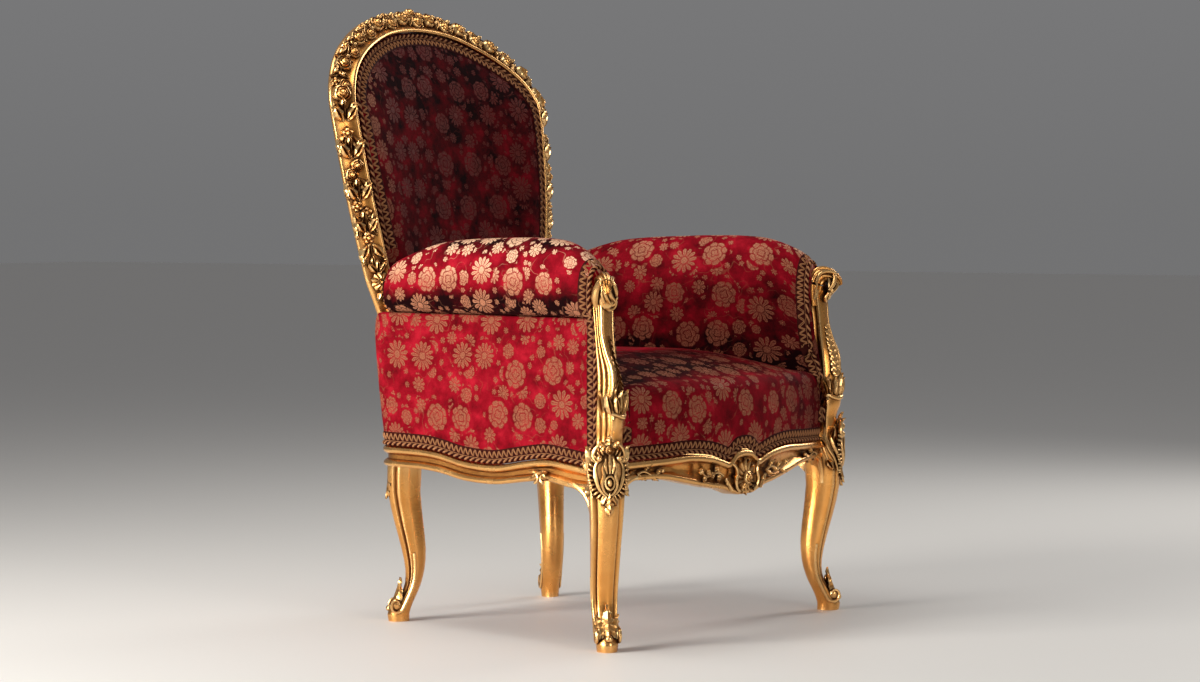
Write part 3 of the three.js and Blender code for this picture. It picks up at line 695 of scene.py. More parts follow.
def frontRailParts():
    half = list(np.linspace(0, 60, 13)) + list(np.linspace(70, chair["frontRailX"], 19))
    stations = [-x for x in half[:0:-1]] + half
    rings = []
    for x in stations:
        ring = railRing(frontRailEdge(abs(x)), frontRailEdge(abs(x), 2))
        rings.append([vec(x, frontLine(x) - n, w) for n, w in ring])
    parts = [extrudeRings(rings)]
    front = vec(0, -1, 0)

    def at(x, w, depth=0.0):
        return vec(x, frontLine(x) - depth, w)

    # the shell in the middle, under the little arch
    lobes = 9
    for i in range(lobes):
        a = (-0.1 + 1.2 * i / (lobes - 1)) * math.pi
        way = vec(math.cos(a), 0, math.sin(a))
        parts.append(place(laurel, at(0, 279, 2), way, front + way * 0.15, (37, 20, 46)))
    parts.append(place(rose, at(0, 281, 7), vec(0, 0, 1), front, (12, 12, 11)))
    for i in range(5):
        a = -math.pi / 2 + (i - 2) * 0.55
        way = vec(math.cos(a), 0, math.sin(a))
        parts.append(place(acanthus, at(0, 276, 5), way, front + way * 0.3, (27, 17, 26)))
    for side in (-1, 1):
        # the C that frames the shell, and the rail's lower bead curling into it
        frameC = [at(side * x, w, d) for x, w, d in [
            (44, 309, 2), (36, 301, 6), (33, 289, 7), (37, 276, 7), (33, 264, 6), (24, 257, 5)]]
        parts.append(bentRod(smoothPath(frameC, 22), tapered(3.6, 1.0, 22)))
        curl = []
        for t in np.linspace(0, 1, 26):
            a = -1.55 + 5.0 * t
            radius = 13.5 * (1 - 0.72 * t)
            curl.append(at(side * (60 - radius * math.cos(a + 1.57) * 0.9), 274 + radius * math.sin(a), 4.5))
        parts.append(bentRod(curl, np.linspace(4.0, 2.2, 26)))
        parts.append(place(berry, at(side * 60, 274, 4), vec(0, 0, 1), front, (5, 5, 4)))
        way = unit(vec(side, 0.0, 0.12))
        parts += vine(at(side * 72, 288, 1), way, front, 74, side, 6)
        spray = at(side * 320, 303, 1)
        for turn, length in ((0.42, 40), (0.12, 58), (-0.2, 44)):
            way = unit(vec(-side, -0.2, turn))
            parts.append(place(acanthus, spray, way, front, (length, length * 0.3, 24)))
        parts += vine(at(side * 300, 303, 1), unit(vec(-side, -0.2, 0.02)), front, 62, -side, 4)
    return parts


def sideRailParts():
    rings = []
    for d in list(np.linspace(0, sideRun, 40)) + list(np.linspace(sideRun, sideEnd, 9))[1:]:
        point, outward = sideLine(d)
        rings.append([point + outward * n + vec(0, 0, w)
                      for n, w in railRing(sideRailEdge(d), sideRailEdge(d, 2))])
    parts = [extrudeRings(rings)]
    # the small carved scroll under the side rail
    for way, start in ((1, 128), (-1, 150)):
        point, outward = sideLine(start)
        along = sideAlong * way
        curl = []
        for t in np.linspace(0, 1, 22):
            a = -1.6 + 4.4 * t
            radius = 10 * (1 - 0.7 * t)
            curl.append(point + outward * 3 + along * (radius * math.cos(a)) + vec(0, 0, 294 + radius * math.sin(a)))
        parts.append(bentRod(curl, np.linspace(3.0, 1.8, 22)))
        for turn in (0.25, -0.15):
            parts.append(place(acanthus, point + outward * 0.5 + vec(0, 0, 296),
                               along + vec(0, 0, turn), outward, (34, 13, 20)))
    return parts


def backRailParts():
    end, _ = sideLine(sideEnd)
    ring = railRing(sideRailEdge(700), sideRailEdge(700, 2))
    return [extrudeRings([[vec(x, end[1] + n, w) for n, w in ring]
                          for x in np.linspace(end[0] - 0.3, -end[0] + 0.3, 9)])]


# Arm posts: a reeded S that faces outward, with a scrolled handhold
posts = {
    "foot": 324,
    "neck": 612,
    "reedDepth": 3.2,
    "husks": 9,
    "huskLow": 458,
    "huskRun": 84,
    "cupLeaves": 6,
    "cupHeight": 409,
}
# height; inner and outer x; front and rear y; belly; how far the outer edge stands forward
postShape = smoothRows([
    [352.6, -30, 8, -16, 20, 3, 0], [375, -29, 7, -16, 19, 2, 0], [392, -31, 10, -19, 18, 5, 2],
    [412, -30, 11, -17, 17, 9, 3], [438, -28, 10, -10, 15, 9, 6], [462, -26, 10, -6, 15, 8, 14],
    [490, -25, 10, -3, 16, 6, 15], [520, -25, 9, 1, 18, 3, 6], [550, -25, 8, 4, 20, 2, 0],
    [580, -27, 7, 6, 24, 2, 0], [612, -31, 6, 9, 28, 4, 0],
])
handhold = smoothRows([
    [0, 352, 22, 582, 14, 12], [1, 352, 22, 606, 15, 15], [2, 354, 20, 627, 15, 17],
    [3, 361, 13, 640, 13, 17], [4, 371, 3, 641, 11, 14], [5, 380, -6, 636, 9, 10],
    [6, 386, -12, 629, 6, 7], [7, 389, -15, 621, 2.5, 3.5],
])
outwardWay = unit(vec(1, -1, 0))
rearWay = unit(vec(1, 1, 0))


def postFront(z, s, depth=0.0):
    # a place on the front of the post, s from 0 at the inner edge to 1 at the outer
    x0, x1, y0, belly, turn = [postShape(z, k) for k in (1, 2, 3, 5, 6)]
    y = y0 + 3 * (2 * s - 1) ** 6 - belly * math.sin(math.pi * s ** 1.5) ** 0.9 - turn * s ** 1.5
    return vec(chair["frontFootX"] + x0 + (x1 - x0) * s, y - depth, z)


def postRing(z):
    footX = chair["frontFootX"]
    x0, x1, y1 = footX + postShape(z, 1), footX + postShape(z, 2), postShape(z, 4)
    deep = posts["reedDepth"]
    ring = [postFront(z, s) for s in np.linspace(0, 1, 13)]
    front = ring[-1][1]
    for s in np.linspace(0, 1, 25)[1:]:
        # three reeds down the outer side
        f = (3 * s) % 1 if s < 1 else 1
        hollow = deep * (1 - math.sqrt(max(1 - (2 * f - 1) ** 2, 0)))
        ring.append(vec(x1 - hollow + 1, front + (y1 - front) * s, z))
    ring.append(vec(x0 + 2, y1, z))
    front = ring[0][1]
    for s in np.linspace(0, 1, 14)[1:-1]:
        # a bead at each edge of the inner side, and a hollow between
        hollow = deep * (0.9 * math.sin(math.pi * min(max((s - 0.2) / 0.6, 0), 1)) ** 0.6)
        ring.append(vec(x0 + hollow, y1 + (front - y1) * s, z))
    return ring


def handholdRing(r):
    middle = vec(*[handhold(r, k) for k in (1, 2, 3)])
    before, after = max(r - 0.15, 0), min(r + 0.15, 7)
    along = unit(vec(*[handhold(after, k) - handhold(before, k) for k in (1, 2, 3)]))
    up = unit(np.cross(rearWay, along))
    up = up if up[2] > -0.2 or r > 5 else -up
    return middle, along, up


def handholdPoint(r, angle, lift=0.0):
    # angle 0 on top of the handhold, positive towards the outer rear
    middle, _, up = handholdRing(r)
    return (middle + up * (math.cos(angle) * (handhold(r, 5) + lift))
            + rearWay * (math.sin(angle) * (handhold(r, 4) + lift)))


def handholdParts():
    # a drooping leaf in long flutes, from the neck of the post over to its tip
    rings = []
    for r in np.linspace(0, 7, 34):
        fade = math.sin(math.pi * min(max((r + 0.4) / 7.6, 0), 1)) ** 0.5
        ring = []
        for a in np.linspace(0, -2 * math.pi, 91)[:-1]:
            flute = abs(math.cos(4.5 * a + 0.45 * r)) ** 0.7
            ring.append(handholdPoint(r, a, 3.4 * fade * (flute - 0.75)))
        rings.append(ring)
    parts = [extrudeRings(rings)]
    # the leaf's rolled rim on both sides
    for way in (-1, 1):
        path = [handholdPoint(r, way * (1.8 - 0.16 * r), 1.2) for r in np.linspace(0.5, 6.9, 28)]
        parts.append(bentRod(path, [0.8 + 2.6 * math.sin(math.pi * t) for t in np.linspace(0.05, 0.95, 28)], 3))
    # the folds under its tip, hanging like a drop on the front of the post
    neck = vec(handhold(0, 1), handhold(0, 2), 0)

    def at(v, z, lift=0.0):
        reach = 19 + 21 * float(between(z, 590, 626)) - 12 * float(between(z, 636, 652))
        return neck + rearWay * v + outwardWay * (reach + lift - v * v / 45) + vec(0, 0, z)

    for rows, thick, lift in (
            ([(1, 650), (12, 638), (17, 620), (15, 604), (7, 592), (-4, 587)], 6.4, -2),
            ([(8, 634), (7, 616), (0, 599), (-9, 592), (-18, 597), (-20, 607)], 2.8, 4),
            ([(7, 638), (3, 620), (-5, 606), (-14, 601), (-19, 608)], 2.4, 6),
            ([(0, 644), (-2, 628), (-8, 615), (-16, 608), (-20, 614)], 3.0, 6),
            ([(-3, 648), (-11, 638), (-17, 624), (-19, 611)], 3.2, 1)):
        path = smoothPath([at(v, z, lift) for v, z in rows], 32)
        parts.append(bentRod(path, [0.9 + thick * math.sin(math.pi * (0.06 + 0.86 * t)) ** 0.8
                                    for t in np.linspace(0, 1, 32)], 3))
    heart = at(-2, 616, -9)
    parts.append(place(berry, heart, vec(0, 0, 1), outwardWay, (24, 15, 8)))
    return parts


def armPostParts():
    cup = posts["cupHeight"]
    heights = np.concatenate([np.linspace(posts["foot"], 440, 22), np.linspace(448, posts["neck"], 24)])
    parts = [extrudeRings([postRing(z) for z in heights])]
    facing = unit(vec(0.45, -1, 0.1))
    # husks down the front, largest at the top of the cup
    for i in range(posts["husks"]):
        t = i / (posts["husks"] - 1)
        z = posts["huskLow"] + posts["huskRun"] * t
        size = 10.5 - 6 * t
        for side in (-0.6, 0, 0.6):
            root = postFront(z + size, 0.58 + side * 0.12, 0.5)
            parts.append(place(laurel, root, vec(side * 0.9, 0, -1), facing, (size * 2.2, size * 1.15, size * 3.2)))
        parts.append(place(berry, postFront(z + size, 0.58, 2), facing, facing, (size * 0.42, size * 0.42, 3.5)))
    # the leaf cup, open upwards, over a rolled lip
    for i in range(posts["cupLeaves"]):
        s = 0.02 + 0.96 * i / (posts["cupLeaves"] - 1)
        way = unit(vec((s - 0.45) * 1.3, -0.6 - 0.3 * s, 0))
        root = postFront(cup, s, -1)
        parts.append(place(frond, root, vec((s - 0.5) * 0.5, 0.2, 1), way, (46 if i % 2 else 38, 16, 22)))
    lip = [postFront(cup - 2 + 7 * abs(2 * s - 1) ** 2, s, 1.0) for s in np.linspace(0, 1, 15)]
    parts.append(bentRod(lip, tapered(4.6, 1.8, 15), 3))
    side = vec(chair["frontFootX"] + 9, 2, cup - 5)
    parts.append(place(frond, side, vec(0, 0.1, 1), vec(1, -0.2, 0), (50, 22, 18)))
    # long beads down both edges of the front
    for s in (0.03, 0.97):
        path = [postFront(z, s, 0.6) for z in np.linspace(posts["neck"] - 6, cup - 5, 30)]
        parts.append(bentRod(path, tapered(2.5, 0.7, 30)))
    return parts + handholdParts()


# Back frame
backFrame = {
    "stations": 110,
    "beadRadius": 4.6,
    "archRoses": 17,
    "archLean": 0.66,
    "archStart": 984,
    "shellHeight": 636,
    # up the stile: what blooms at a height; where a pair of leaves starts, which way, how long; the tail
    "blooms": ((973, "rose"), (908, "flower"), (842, "roses"), (770, "flowers"), (718, "flower")),
    "leafPairs": ((930, 1, 34), (905, -1, 34), (862, 1, 36), (826, -1, 36), (786, 1, 34), (756, -1, 30),
                  (728, 1, 28), (706, -1, 34)),
    "tail": ((594, 10), (579, 8.5), (566, 7), (556, 5)),
}
frameTaper = smoothRows([[552, 0.45], [600, 0.75], [650, 1], [960, 1], [1107, 0.88]])


def frameRing(t):
    w = chair["frameWidth"] * frameTaper(outlineAt(t)[2])
    bead = backFrame["beadRadius"]
    ring = [(0, 4)]
    for a in np.linspace(180, 20, 7):
        ring.append((bead + bead * math.cos(math.radians(a)), -bead * math.sin(math.radians(a))))
    ring += [(bead * 2 + 1.5, 2.5), (w * 0.5, 9.5), (w * 0.78, 18), (w * 0.92, 22), (w * 0.99, 25)]
    ring += [(w, 28), (w * 0.98, 31), (w * 0.93, chair["frameDepth"] - 1), (w * 0.86, chair["frameDepth"])]
    ring += [(w * 0.4, chair["frameDepth"]), (0, chair["frameDepth"])]
    return [framePoint(t, n, depth) for n, depth in ring]


def frameCarving():
    parts = []

    def put(shape, t, n, turn, size, tip=0.0):
        outward = outlineOutward(t)
        along = outlineAlong(t) * math.cos(turn) + outward * math.sin(turn)
        along = along + vec(0, 0.55 * math.sin(turn), 0)
        facing = outward * (backFrame["archLean"] + tip) + vec(0, -1, 0)
        n *= frameTaper(outlineAt(t)[2])
        depth = 2.5 + 0.58 * max(n - 9, 0)
        parts.append(place(shape, framePoint(t, n, depth), along, facing, size))

    for half in (0, 1):
        def on(z):
            t = outlineFraction(z)
            return 1 - t if half else t

        rising = math.pi if half else 0
        lean = -1 if half else 1
        # pairs of leaves up the stile, opening away from a flower or a rose
        for z, kind in backFrame["blooms"]:
            if kind == "rose":
                put(rose, on(z), 24, 0.3, (18, 18, 20))
            elif kind == "roses":
                put(rose, on(z + 7), 18, 0.3, (13, 13, 17))
                put(rose, on(z - 8), 30, 1.3, (13.5, 13.5, 17))
            elif kind == "flowers":
                put(flower, on(z + 7), 31, 0.3, (12.5, 12.5, 17))
                put(flower, on(z - 7), 18, 1.1, (12.5, 12.5, 17))
            else:
                put(flower, on(z), 24, 0.0, (13, 13, 18))
        for z, way, length in backFrame["leafPairs"]:
            turned = 0 if way > 0 else math.pi
            for spread, n in ((0.5, 27), (-0.5, 20)):
                put(frond, on(z), n, rising + turned + way * lean * spread, (length + 3, 25, 26))
            put(laurel, on(z + way * 3), 24, rising + turned, (length * 0.8, 9, 34))
            put(frond, on(z + way * 14), 36, rising + turned + way * lean * 0.25, (26, 14, 20))
            put(frond, on(z + way * 16), 13, rising + turned - way * lean * 0.25, (22, 12, 18))
            put(frond, on(z + way * 20), 25, rising + turned, (24, 16, 22))
        # the shell scroll at the foot of the stile, and its tail of small flowers
        scroll = backFrame["shellHeight"]
        put(shell, on(scroll), 22, 0, (18, 18, 22))
        put(rose, on(scroll), 22, 0, (8.5, 8.5, 20))
        for spread in (-0.6, 0, 0.6):
            put(frond, on(scroll + 14), 22, rising + spread, (30, 16, 22))
            put(frond, on(scroll - 16), 20, rising + math.pi + spread, (28, 14, 22))
        for z, size in backFrame["tail"]:
            put(flower, on(z), 22, 0, (size, size, size * 1.6))
    # the arch: roses crowded along it, buds and leaves between and outside them
    low = outlineFraction(backFrame["archStart"])
    count = backFrame["archRoses"]
    for i in range(count):
        t = low + (1 - 2 * low) * i / (count - 1)
        spin = rng.uniform(0, 1.2)
        if i % 2:
            put(rose, t, 28, spin, (16.5, 16.5, 22), 0.1)
        else:
            put(rose, t, 20, spin, (14, 14, 18))
            put(flower, t, 36, spin, (10.5, 10.5, 17), 0.3)
        if i < count - 1:
            halfway = t + (1 - 2 * low) * 0.5 / (count - 1)
            put(berry, halfway, 37, 0, (6, 6, 10), 0.4)
            put(berry, halfway, 25, 0, (5, 5, 9))
            put(frond, halfway, 13, rng.uniform(0.9, 2.2), (27, 15, 20))
            for turn in (0.5, 2.6):
                put(frond, halfway, 29, turn + rng.uniform(-0.2, 0.2), (23, 14, 20), 0.3)
    # the spray of roses at the top
    for n, shift, size in ((33, -0.012, 13), (33, 0.012, 13), (40, 0, 12)):
        put(rose, 0.5 + shift, n, 0.4, (size, size, size * 1.3), 0.3)
    return parts


def backFrameParts():
    return [extrudeRings([frameRing(t) for t in np.linspace(0, 1, backFrame["stations"])])] + frameCarving()


print("carving the gilded frame")
gilded = {}
for name, parts in (("front_leg", frontLegParts()), ("back_leg", backLegParts()),
                    ("side_rail", sideRailParts()), ("arm_post", armPostParts())):
    gilded[name + "_right"] = makePiece(name + "_carved_right", parts)
    gilded[name + "_left"] = makePiece(name + "_carved_left", mirrorParts(parts))
gilded["front_rail"] = makePiece("front_rail_carved", frontRailParts())
gilded["back_rail"] = makePiece("back_rail_moulded", backRailParts())
gilded["back_frame"] = makePiece("back_frame_carved", backFrameParts())


# Upholstery. A cover is a grid of points with its own map in metres, closed behind.


def clothObject(name, points, faces, u, v):
    # an object from points in mm, with the cloth's own map in metres
    mesh = bpy.data.meshes.new(name)
    mesh.from_pydata((points + [0, feetY, 0]) * 0.001, [], [tuple(int(i) for i in f) for f in faces])
    layer = mesh.uv_layers.new(name="clothMap")
    loops = np.zeros(len(mesh.loops), dtype=np.int32)
    mesh.loops.foreach_get("vertex_index", loops)
    layer.data.foreach_set("uv", np.stack([u[loops], v[loops]], axis=1).astype(np.float32).reshape(-1))
    cover = bpy.data.objects.new(name, mesh)
    bpy.context.collection.objects.link(cover)
    choose(cover)
    turnOutward()
    return cover


def closedCover(name, grid, mapU, mapV, backing):
    # grid of points by row and column, and the matching grid behind it
    rows, columns = grid.shape[:2]
    front = np.arange(rows * columns).reshape(rows, columns)
    rear = front + rows * columns
    points = np.vstack([grid.reshape(-1, 3), backing.reshape(-1, 3)])
    faces = []
    for a, flip in ((front, False), (rear, True)):
        for i in range(rows - 1):
            for j in range(columns - 1):
                f = (a[i, j], a[i, j + 1], a[i + 1, j + 1], a[i + 1, j])
                faces.append(f[::-1] if flip else f)
    rim = list(front[0, :-1]) + list(front[:-1, -1]) + list(front[-1, :0:-1]) + list(front[:0:-1, 0])
    for k, a in enumerate(rim):
        b = rim[(k + 1) % len(rim)]
        faces.append((b, a, a + rows * columns, b + rows * columns))
    u, v = [np.tile(k.reshape(-1), 2) * 0.001 for k in (mapU, mapV)]
    cover = clothObject(name, points, faces, u, v)
    # a measure of how freely each point may move: none at the hem and behind
    i, j = np.indices((rows, columns))
    free = np.minimum.reduce([i, rows - 1 - i, j, columns - 1 - j])
    return cover, np.concatenate([free.reshape(-1), np.zeros(rows * columns)])


def fillCover(cover, free, pressure, cap, held=2):
    # swells the cover as stuffing does, by a cloth simulation that is then applied
    start = np.array([v.co for v in cover.data.vertices])
    pins = cover.vertex_groups.new(name="hem")
    pins.add([int(i) for i in np.where(free < held)[0]], 1.0, "REPLACE")
    cloth = cover.modifiers.new("filling", "CLOTH")
    settings = cloth.settings
    settings.quality = 5
    settings.mass = 0.3
    settings.tension_stiffness = 25
    settings.compression_stiffness = 25
    settings.shear_stiffness = 12
    settings.bending_stiffness = 4
    settings.use_pressure = True
    settings.uniform_pressure_force = pressure
    settings.vertex_group_mass = "hem"
    settings.effector_weights.gravity = 0
    cloth.point_cache.frame_start = 1
    cloth.point_cache.frame_end = 20
    for moment in range(1, 21):
        bpy.context.scene.frame_set(moment)
    moved = cover.evaluated_get(bpy.context.evaluated_depsgraph_get())
    end = np.array([v.co for v in moved.data.vertices])
    cover.modifiers.remove(cloth)
    cover.vertex_groups.remove(pins)
    bpy.context.scene.frame_set(1)
    shift = end - start
    length = np.linalg.norm(shift, axis=1, keepdims=True)
    limit = cap * 0.001
    shift *= np.minimum(1, limit * np.tanh(length / limit) / np.maximum(length, 1e-9))
    cover.data.vertices.foreach_set("co", (start + shift).astype(np.float32).reshape(-1))
    cover.data.update()


def finishCover(cover, subdivisions=1):
    choose(cover)
    if subdivisions:
        mod = cover.modifiers.new("smooth", "SUBSURF")
        mod.levels = subdivisions
        mod.render_levels = subdivisions
        bpy.ops.object.modifier_apply(modifier=mod.name)
    bpy.ops.object.shade_smooth()


seat = {
    "halfFront": 336,
    "halfRear": 240,
    "rearY": 512,
    "rollStart": 0.72,
    "rollRadius": 26,
    "faceSwell": 5.5,
    "underside": 336,
    "columns": 61,
    "pressure": 3.0,
    "cap": 7,
}


def seatHalfWidth(y):
    t = np.clip((y - 40) / (seat["rearY"] - 40), 0, 1)
    front = np.clip((40 - y) / 60, 0, 1)
    straight = (seat["halfFront"] - 26) + (seat["halfRear"] - seat["halfFront"] + 26) * t
    return straight + 26 * front


def seatPoint(x01, row):
    # row 0 at the front hem, 1 at the top of the front roll, then to 2 at the rear
    s = 2 * x01 - 1
    edgeZ, crownZ = chair["seatEdge"], chair["seatCrown"]
    x = s * (seat["halfFront"] - 2)
    hem = frontRailEdge(abs(x)) + 3
    y0 = frontLine(x) + 3
    if row <= 1:
        # up the front face, swelling a little, then rolling over
        t = row
        start, radius = seat["rollStart"], seat["rollRadius"]
        if t < start:
            k = t / start
            z = hem + (edgeZ - radius - hem) * k
            y = y0 - seat["faceSwell"] * math.sin(math.pi * k * 0.9)
        else:
            a = (t - start) / (1 - start) * math.pi / 2
            z = edgeZ - radius + (radius + 1) * math.sin(a)
            y = y0 - 1.8 + radius * (1 - math.cos(a))
        z -= 10 * abs(s) ** 8 * t
        return vec(x, y, z)
    k = row - 1
    frontY = y0 + 24
    y = frontY + (seat["rearY"] - frontY) * k
    half = seatHalfWidth(y) - 2
    rise = min(1, k / 0.42)
    rise = math.sin(rise * math.pi / 2) ** 0.9
    across = 1 - abs(s) ** 4
    z = edgeZ + 1 + (crownZ - edgeZ - 1) * rise * (0.25 + 0.75 * across) - 10 * abs(s) ** 8
    return vec(s * half, y, z)


def makeSeat():
    start = seat["rollStart"]
    rows = list(np.linspace(0, start, 16)) + list(np.linspace(start, 1, 9))[1:] + list(np.linspace(1, 2, 40))[1:]
    grid = np.array([[seatPoint(c, r) for c in np.linspace(0, 1, seat["columns"])] for r in rows])
    middle = grid[:, seat["columns"] // 2]
    length = runLength(middle)
    mapU = grid[:, :, 0]
    mapV = np.repeat(length[:, None], seat["columns"], axis=1)
    # the underside: straight back from the hem, then level
    backing = grid.copy()
    for i, r in enumerate(rows):
        backing[i, :, 2] = np.minimum(grid[i, :, 2], seat["underside"])
        backing[i, :, 1] = grid[i, :, 1] + 24 * min(r / start + 0.2, 1)
        if r > 1:
            backing[i, :, 1] = np.minimum(backing[i, :, 1], seat["rearY"] - 2)
    backing[:, :, 0] *= 0.985
    cover, free = closedCover("seat_cushion_velvet", grid, mapU, mapV, backing)
    fillCover(cover, free, seat["pressure"], seat["cap"])
    finishCover(cover)
    return cover


# along the arm: the inner face, the top of the roll and how far the roll swells
rollTop, rollEnd = chair["rollTop"], chair["rollEnd"]
armInner = smoothRows([[0, -36], [22, -44], [60, -63], [110, -75], [440, -79], [505, -70], [rollEnd, -52]])
rollHeight = smoothRows([[0, 664], [40, 690], [110, rollTop], [260, rollTop], [400, 706], [480, 686], [rollEnd, 664]])
rollSwell = smoothRows([[0, 0.25], [40, 0.85], [100, 1], [440, 1], [rollEnd, 0.85]])
arms = {
    "stations": 46,
    "pressure": 3.0,
    "cap": 6,
}


def armSection(d):
    # the padded outline from the outer crease over the top and down the inner face
    top = rollHeight(d)
    out = chair["rollOverhang"] * rollSwell(d)
    inner = armInner(d)
    crease = chair["creaseHeight"] + 1
    span = top - crease
    points = [
        (-10, crease + 1), (-1, crease), (out * 0.62, crease + 8), (out * 0.97, crease + span * 0.27),
        (out, crease + span * 0.5), (out * 0.78, crease + span * 0.74), (out * 0.2, crease + span * 0.93),
        (inner * 0.32, top), (inner * 0.66, crease + span * 0.95), (inner * 0.92, crease + span * 0.76),
        (inner - 3, crease + span * 0.5), (inner - 4, crease + span * 0.2), (inner - 2, crease - 30),
        (inner, 500), (inner + 3, 440), (inner + 8, 380),
    ]
    return smoothPath([(n, w, 0) for n, w in points], 56)[:, :2]


# where the braid meets the post on the inner side
postEdgeY = smoothRows([
    [356, -18], [375, -17], [394, -14], [422, -9], [451, -4], [475, 0], [509, 9], [545, 16], [580, 21], [635, 22],
])


def armPoint(d, n, w):
    # low on the inner side the cover reaches forward along the post
    point, outward = sideLine(d)
    spot = point + outward * n
    inner = np.clip((-n - 18) / 12, 0, 1)
    reach = max(22 - postEdgeY(w), 0) * inner * np.clip(1 - (d - 4) / 70, 0, 1) ** 1.5
    return vec(spot[0], spot[1] - reach, w)


def makeArm():
    stations = np.linspace(4, rollEnd, arms["stations"])
    ends = smoothRows([[4, 0.86], [14, 0.965], [26, 1], [512, 1], [528, 0.97], [rollEnd, 0.88]])
    core = (-34, 560)
    grid, behind = [], []
    for d in stations:
        section = armSection(d)
        k = ends(d)
        section = np.array([(core[0] + (n - core[0]) * k, core[1] + (w - core[1]) * k) for n, w in section])
        grid.append([armPoint(d, n, w) for n, w in section])
        inside = [(core[0] + (n - core[0]) * 0.35, max(core[1] + (w - core[1]) * 0.35, 380)) for n, w in section]
        behind.append([armPoint(d, n, w) for n, w in inside])
    grid, behind = np.array(grid), np.array(behind)
    middle = grid[len(grid) // 2]
    length = runLength(middle)
    mapU = np.repeat(stations[:, None], grid.shape[1], axis=1)
    mapV = np.repeat(length[None, :], len(stations), axis=0)
    cover, free = closedCover("arm_cushion_velvet_right", grid, mapU, mapV, behind)
    fillCover(cover, free, arms["pressure"], arms["cap"])
    finishCover(cover)
    return cover


def makeSidePanel():
    stations = list(np.linspace(-6, sideRun, 34)) + list(np.linspace(sideRun, sideEnd, 10))[1:]
    grid, behind, mapU, mapV = [], [], [], []
    for d in stations:
        low = sideRailEdge(d) + 0.5
        drop = between(d, rollEnd, rollEnd + 22)
        top = chair["creaseHeight"] + (chair["stileEnd"] - 6 - chair["creaseHeight"]) * drop
        rowsW = np.linspace(low, top, 26)
        crown = [5.5 * math.sin(math.pi * (w - low) / (top - low)) ** 0.6
                 * math.sin(math.pi * np.clip(d / sideEnd, 0, 1)) ** 0.4 for w in rowsW]
        grid.append([sideFabric(d, n, w) for n, w in zip(crown, rowsW)])
        behind.append([sideFabric(d, -chair["panelThickness"] + 2, w) for w in rowsW])
        mapU.append([d] * 26)
        mapV.append(list(rowsW))
    cover, free = closedCover("side_panel_velvet_right", np.array(grid), np.array(mapU), np.array(mapV),
                              np.array(behind))
    fillCover(cover, free, 1.2, 3)
    finishCover(cover)
    return cover


backPad = {
    "rim": 90,
    "levels": [0, 0.012, 0.03, 0.06, 0.1, 0.16, 0.24, 0.34, 0.46, 0.6, 0.75, 0.9],
    "pressure": 3.0,
    "cap": 6,
}


def padOutline(inset, bottom):
    rim = [framePoint(t, -inset, 0) for t in np.linspace(0, 1, backPad["rim"])]
    half = abs(rim[0][0])
    for z in np.linspace(rim[-1][2], bottom, 12)[1:]:
        rim.append(vec(half, 0, z))
    for x in np.linspace(half, -half, 24)[1:]:
        rim.append(vec(x, 0, bottom))
    for z in np.linspace(bottom, rim[0][2], 12)[1:-1]:
        rim.append(vec(-half, 0, z))
    return rim


def makePad(name, bottom, faceDepth, backDepth, crown, pressure, cap, mapShift=0):
    # a pad inside the back frame's outline, in rings from the rim to the middle
    rim = padOutline(0.6, bottom)
    middleZ = (bottom + archTop) / 2
    sign = 1 if crown > 0 else -1
    rise = smoothRows([[0, 0], [0.012, 0.2], [0.03, 0.42], [0.06, 0.62], [0.1, 0.75], [0.16, 0.84],
                       [0.34, 0.93], [0.6, 0.98], [1, 1]])

    def ringAt(shrink, depth):
        ring = []
        for p in rim:
            x, z = p[0] * (1 - shrink), p[2] + (middleZ - p[2]) * shrink
            ring.append(vec(x, backY(x, z) + depth, z))
        return ring

    grid = [ringAt(k, faceDepth + crown * rise(k)) for k in backPad["levels"]] + [ringAt(1, faceDepth + crown)]
    behind = [ringAt(k, backDepth) for k in backPad["levels"]] + [ringAt(1, backDepth)]
    rows, columns = len(backPad["levels"]), len(rim)
    points = np.vstack([np.array(grid[:-1]).reshape(-1, 3), grid[-1][0][None],
                        np.array(behind[:-1]).reshape(-1, 3), behind[-1][0][None]])
    half = rows * columns + 1
    faces = []
    for base in (0, half):
        for i in range(rows - 1):
            for j in range(columns):
                a, b = base + i * columns + j, base + i * columns + (j + 1) % columns
                faces.append((a, b, b + columns, a + columns))
        for j in range(columns):
            last = base + (rows - 1) * columns
            faces.append((last + j, last + (j + 1) % columns, base + rows * columns))
    for j in range(columns):
        faces.append((j, (j + 1) % columns, half + (j + 1) % columns, half + j))
    u = points[:, 0] * 0.001 * sign
    v = points[:, 2] / math.cos(math.radians(chair["leanDegrees"])) * 0.001 + mapShift
    cover = clothObject(name, points, faces, u, v)
    free = np.concatenate([np.repeat(np.arange(rows), columns), [rows], np.zeros(half)])
    fillCover(cover, free, pressure, cap, held=1)
    finishCover(cover)
    return cover


def mirrorPiece(piece, name):
    # the other side's piece is this one in a mirror, with its own mesh
    twin = piece.copy()
    twin.data = piece.data.copy()
    twin.name = twin.data.name = name
    bpy.context.collection.objects.link(twin)
    twin.data.transform(Matrix.Scale(-1, 4, Vector((1, 0, 0))))
    twin.data.flip_normals()
    return twin


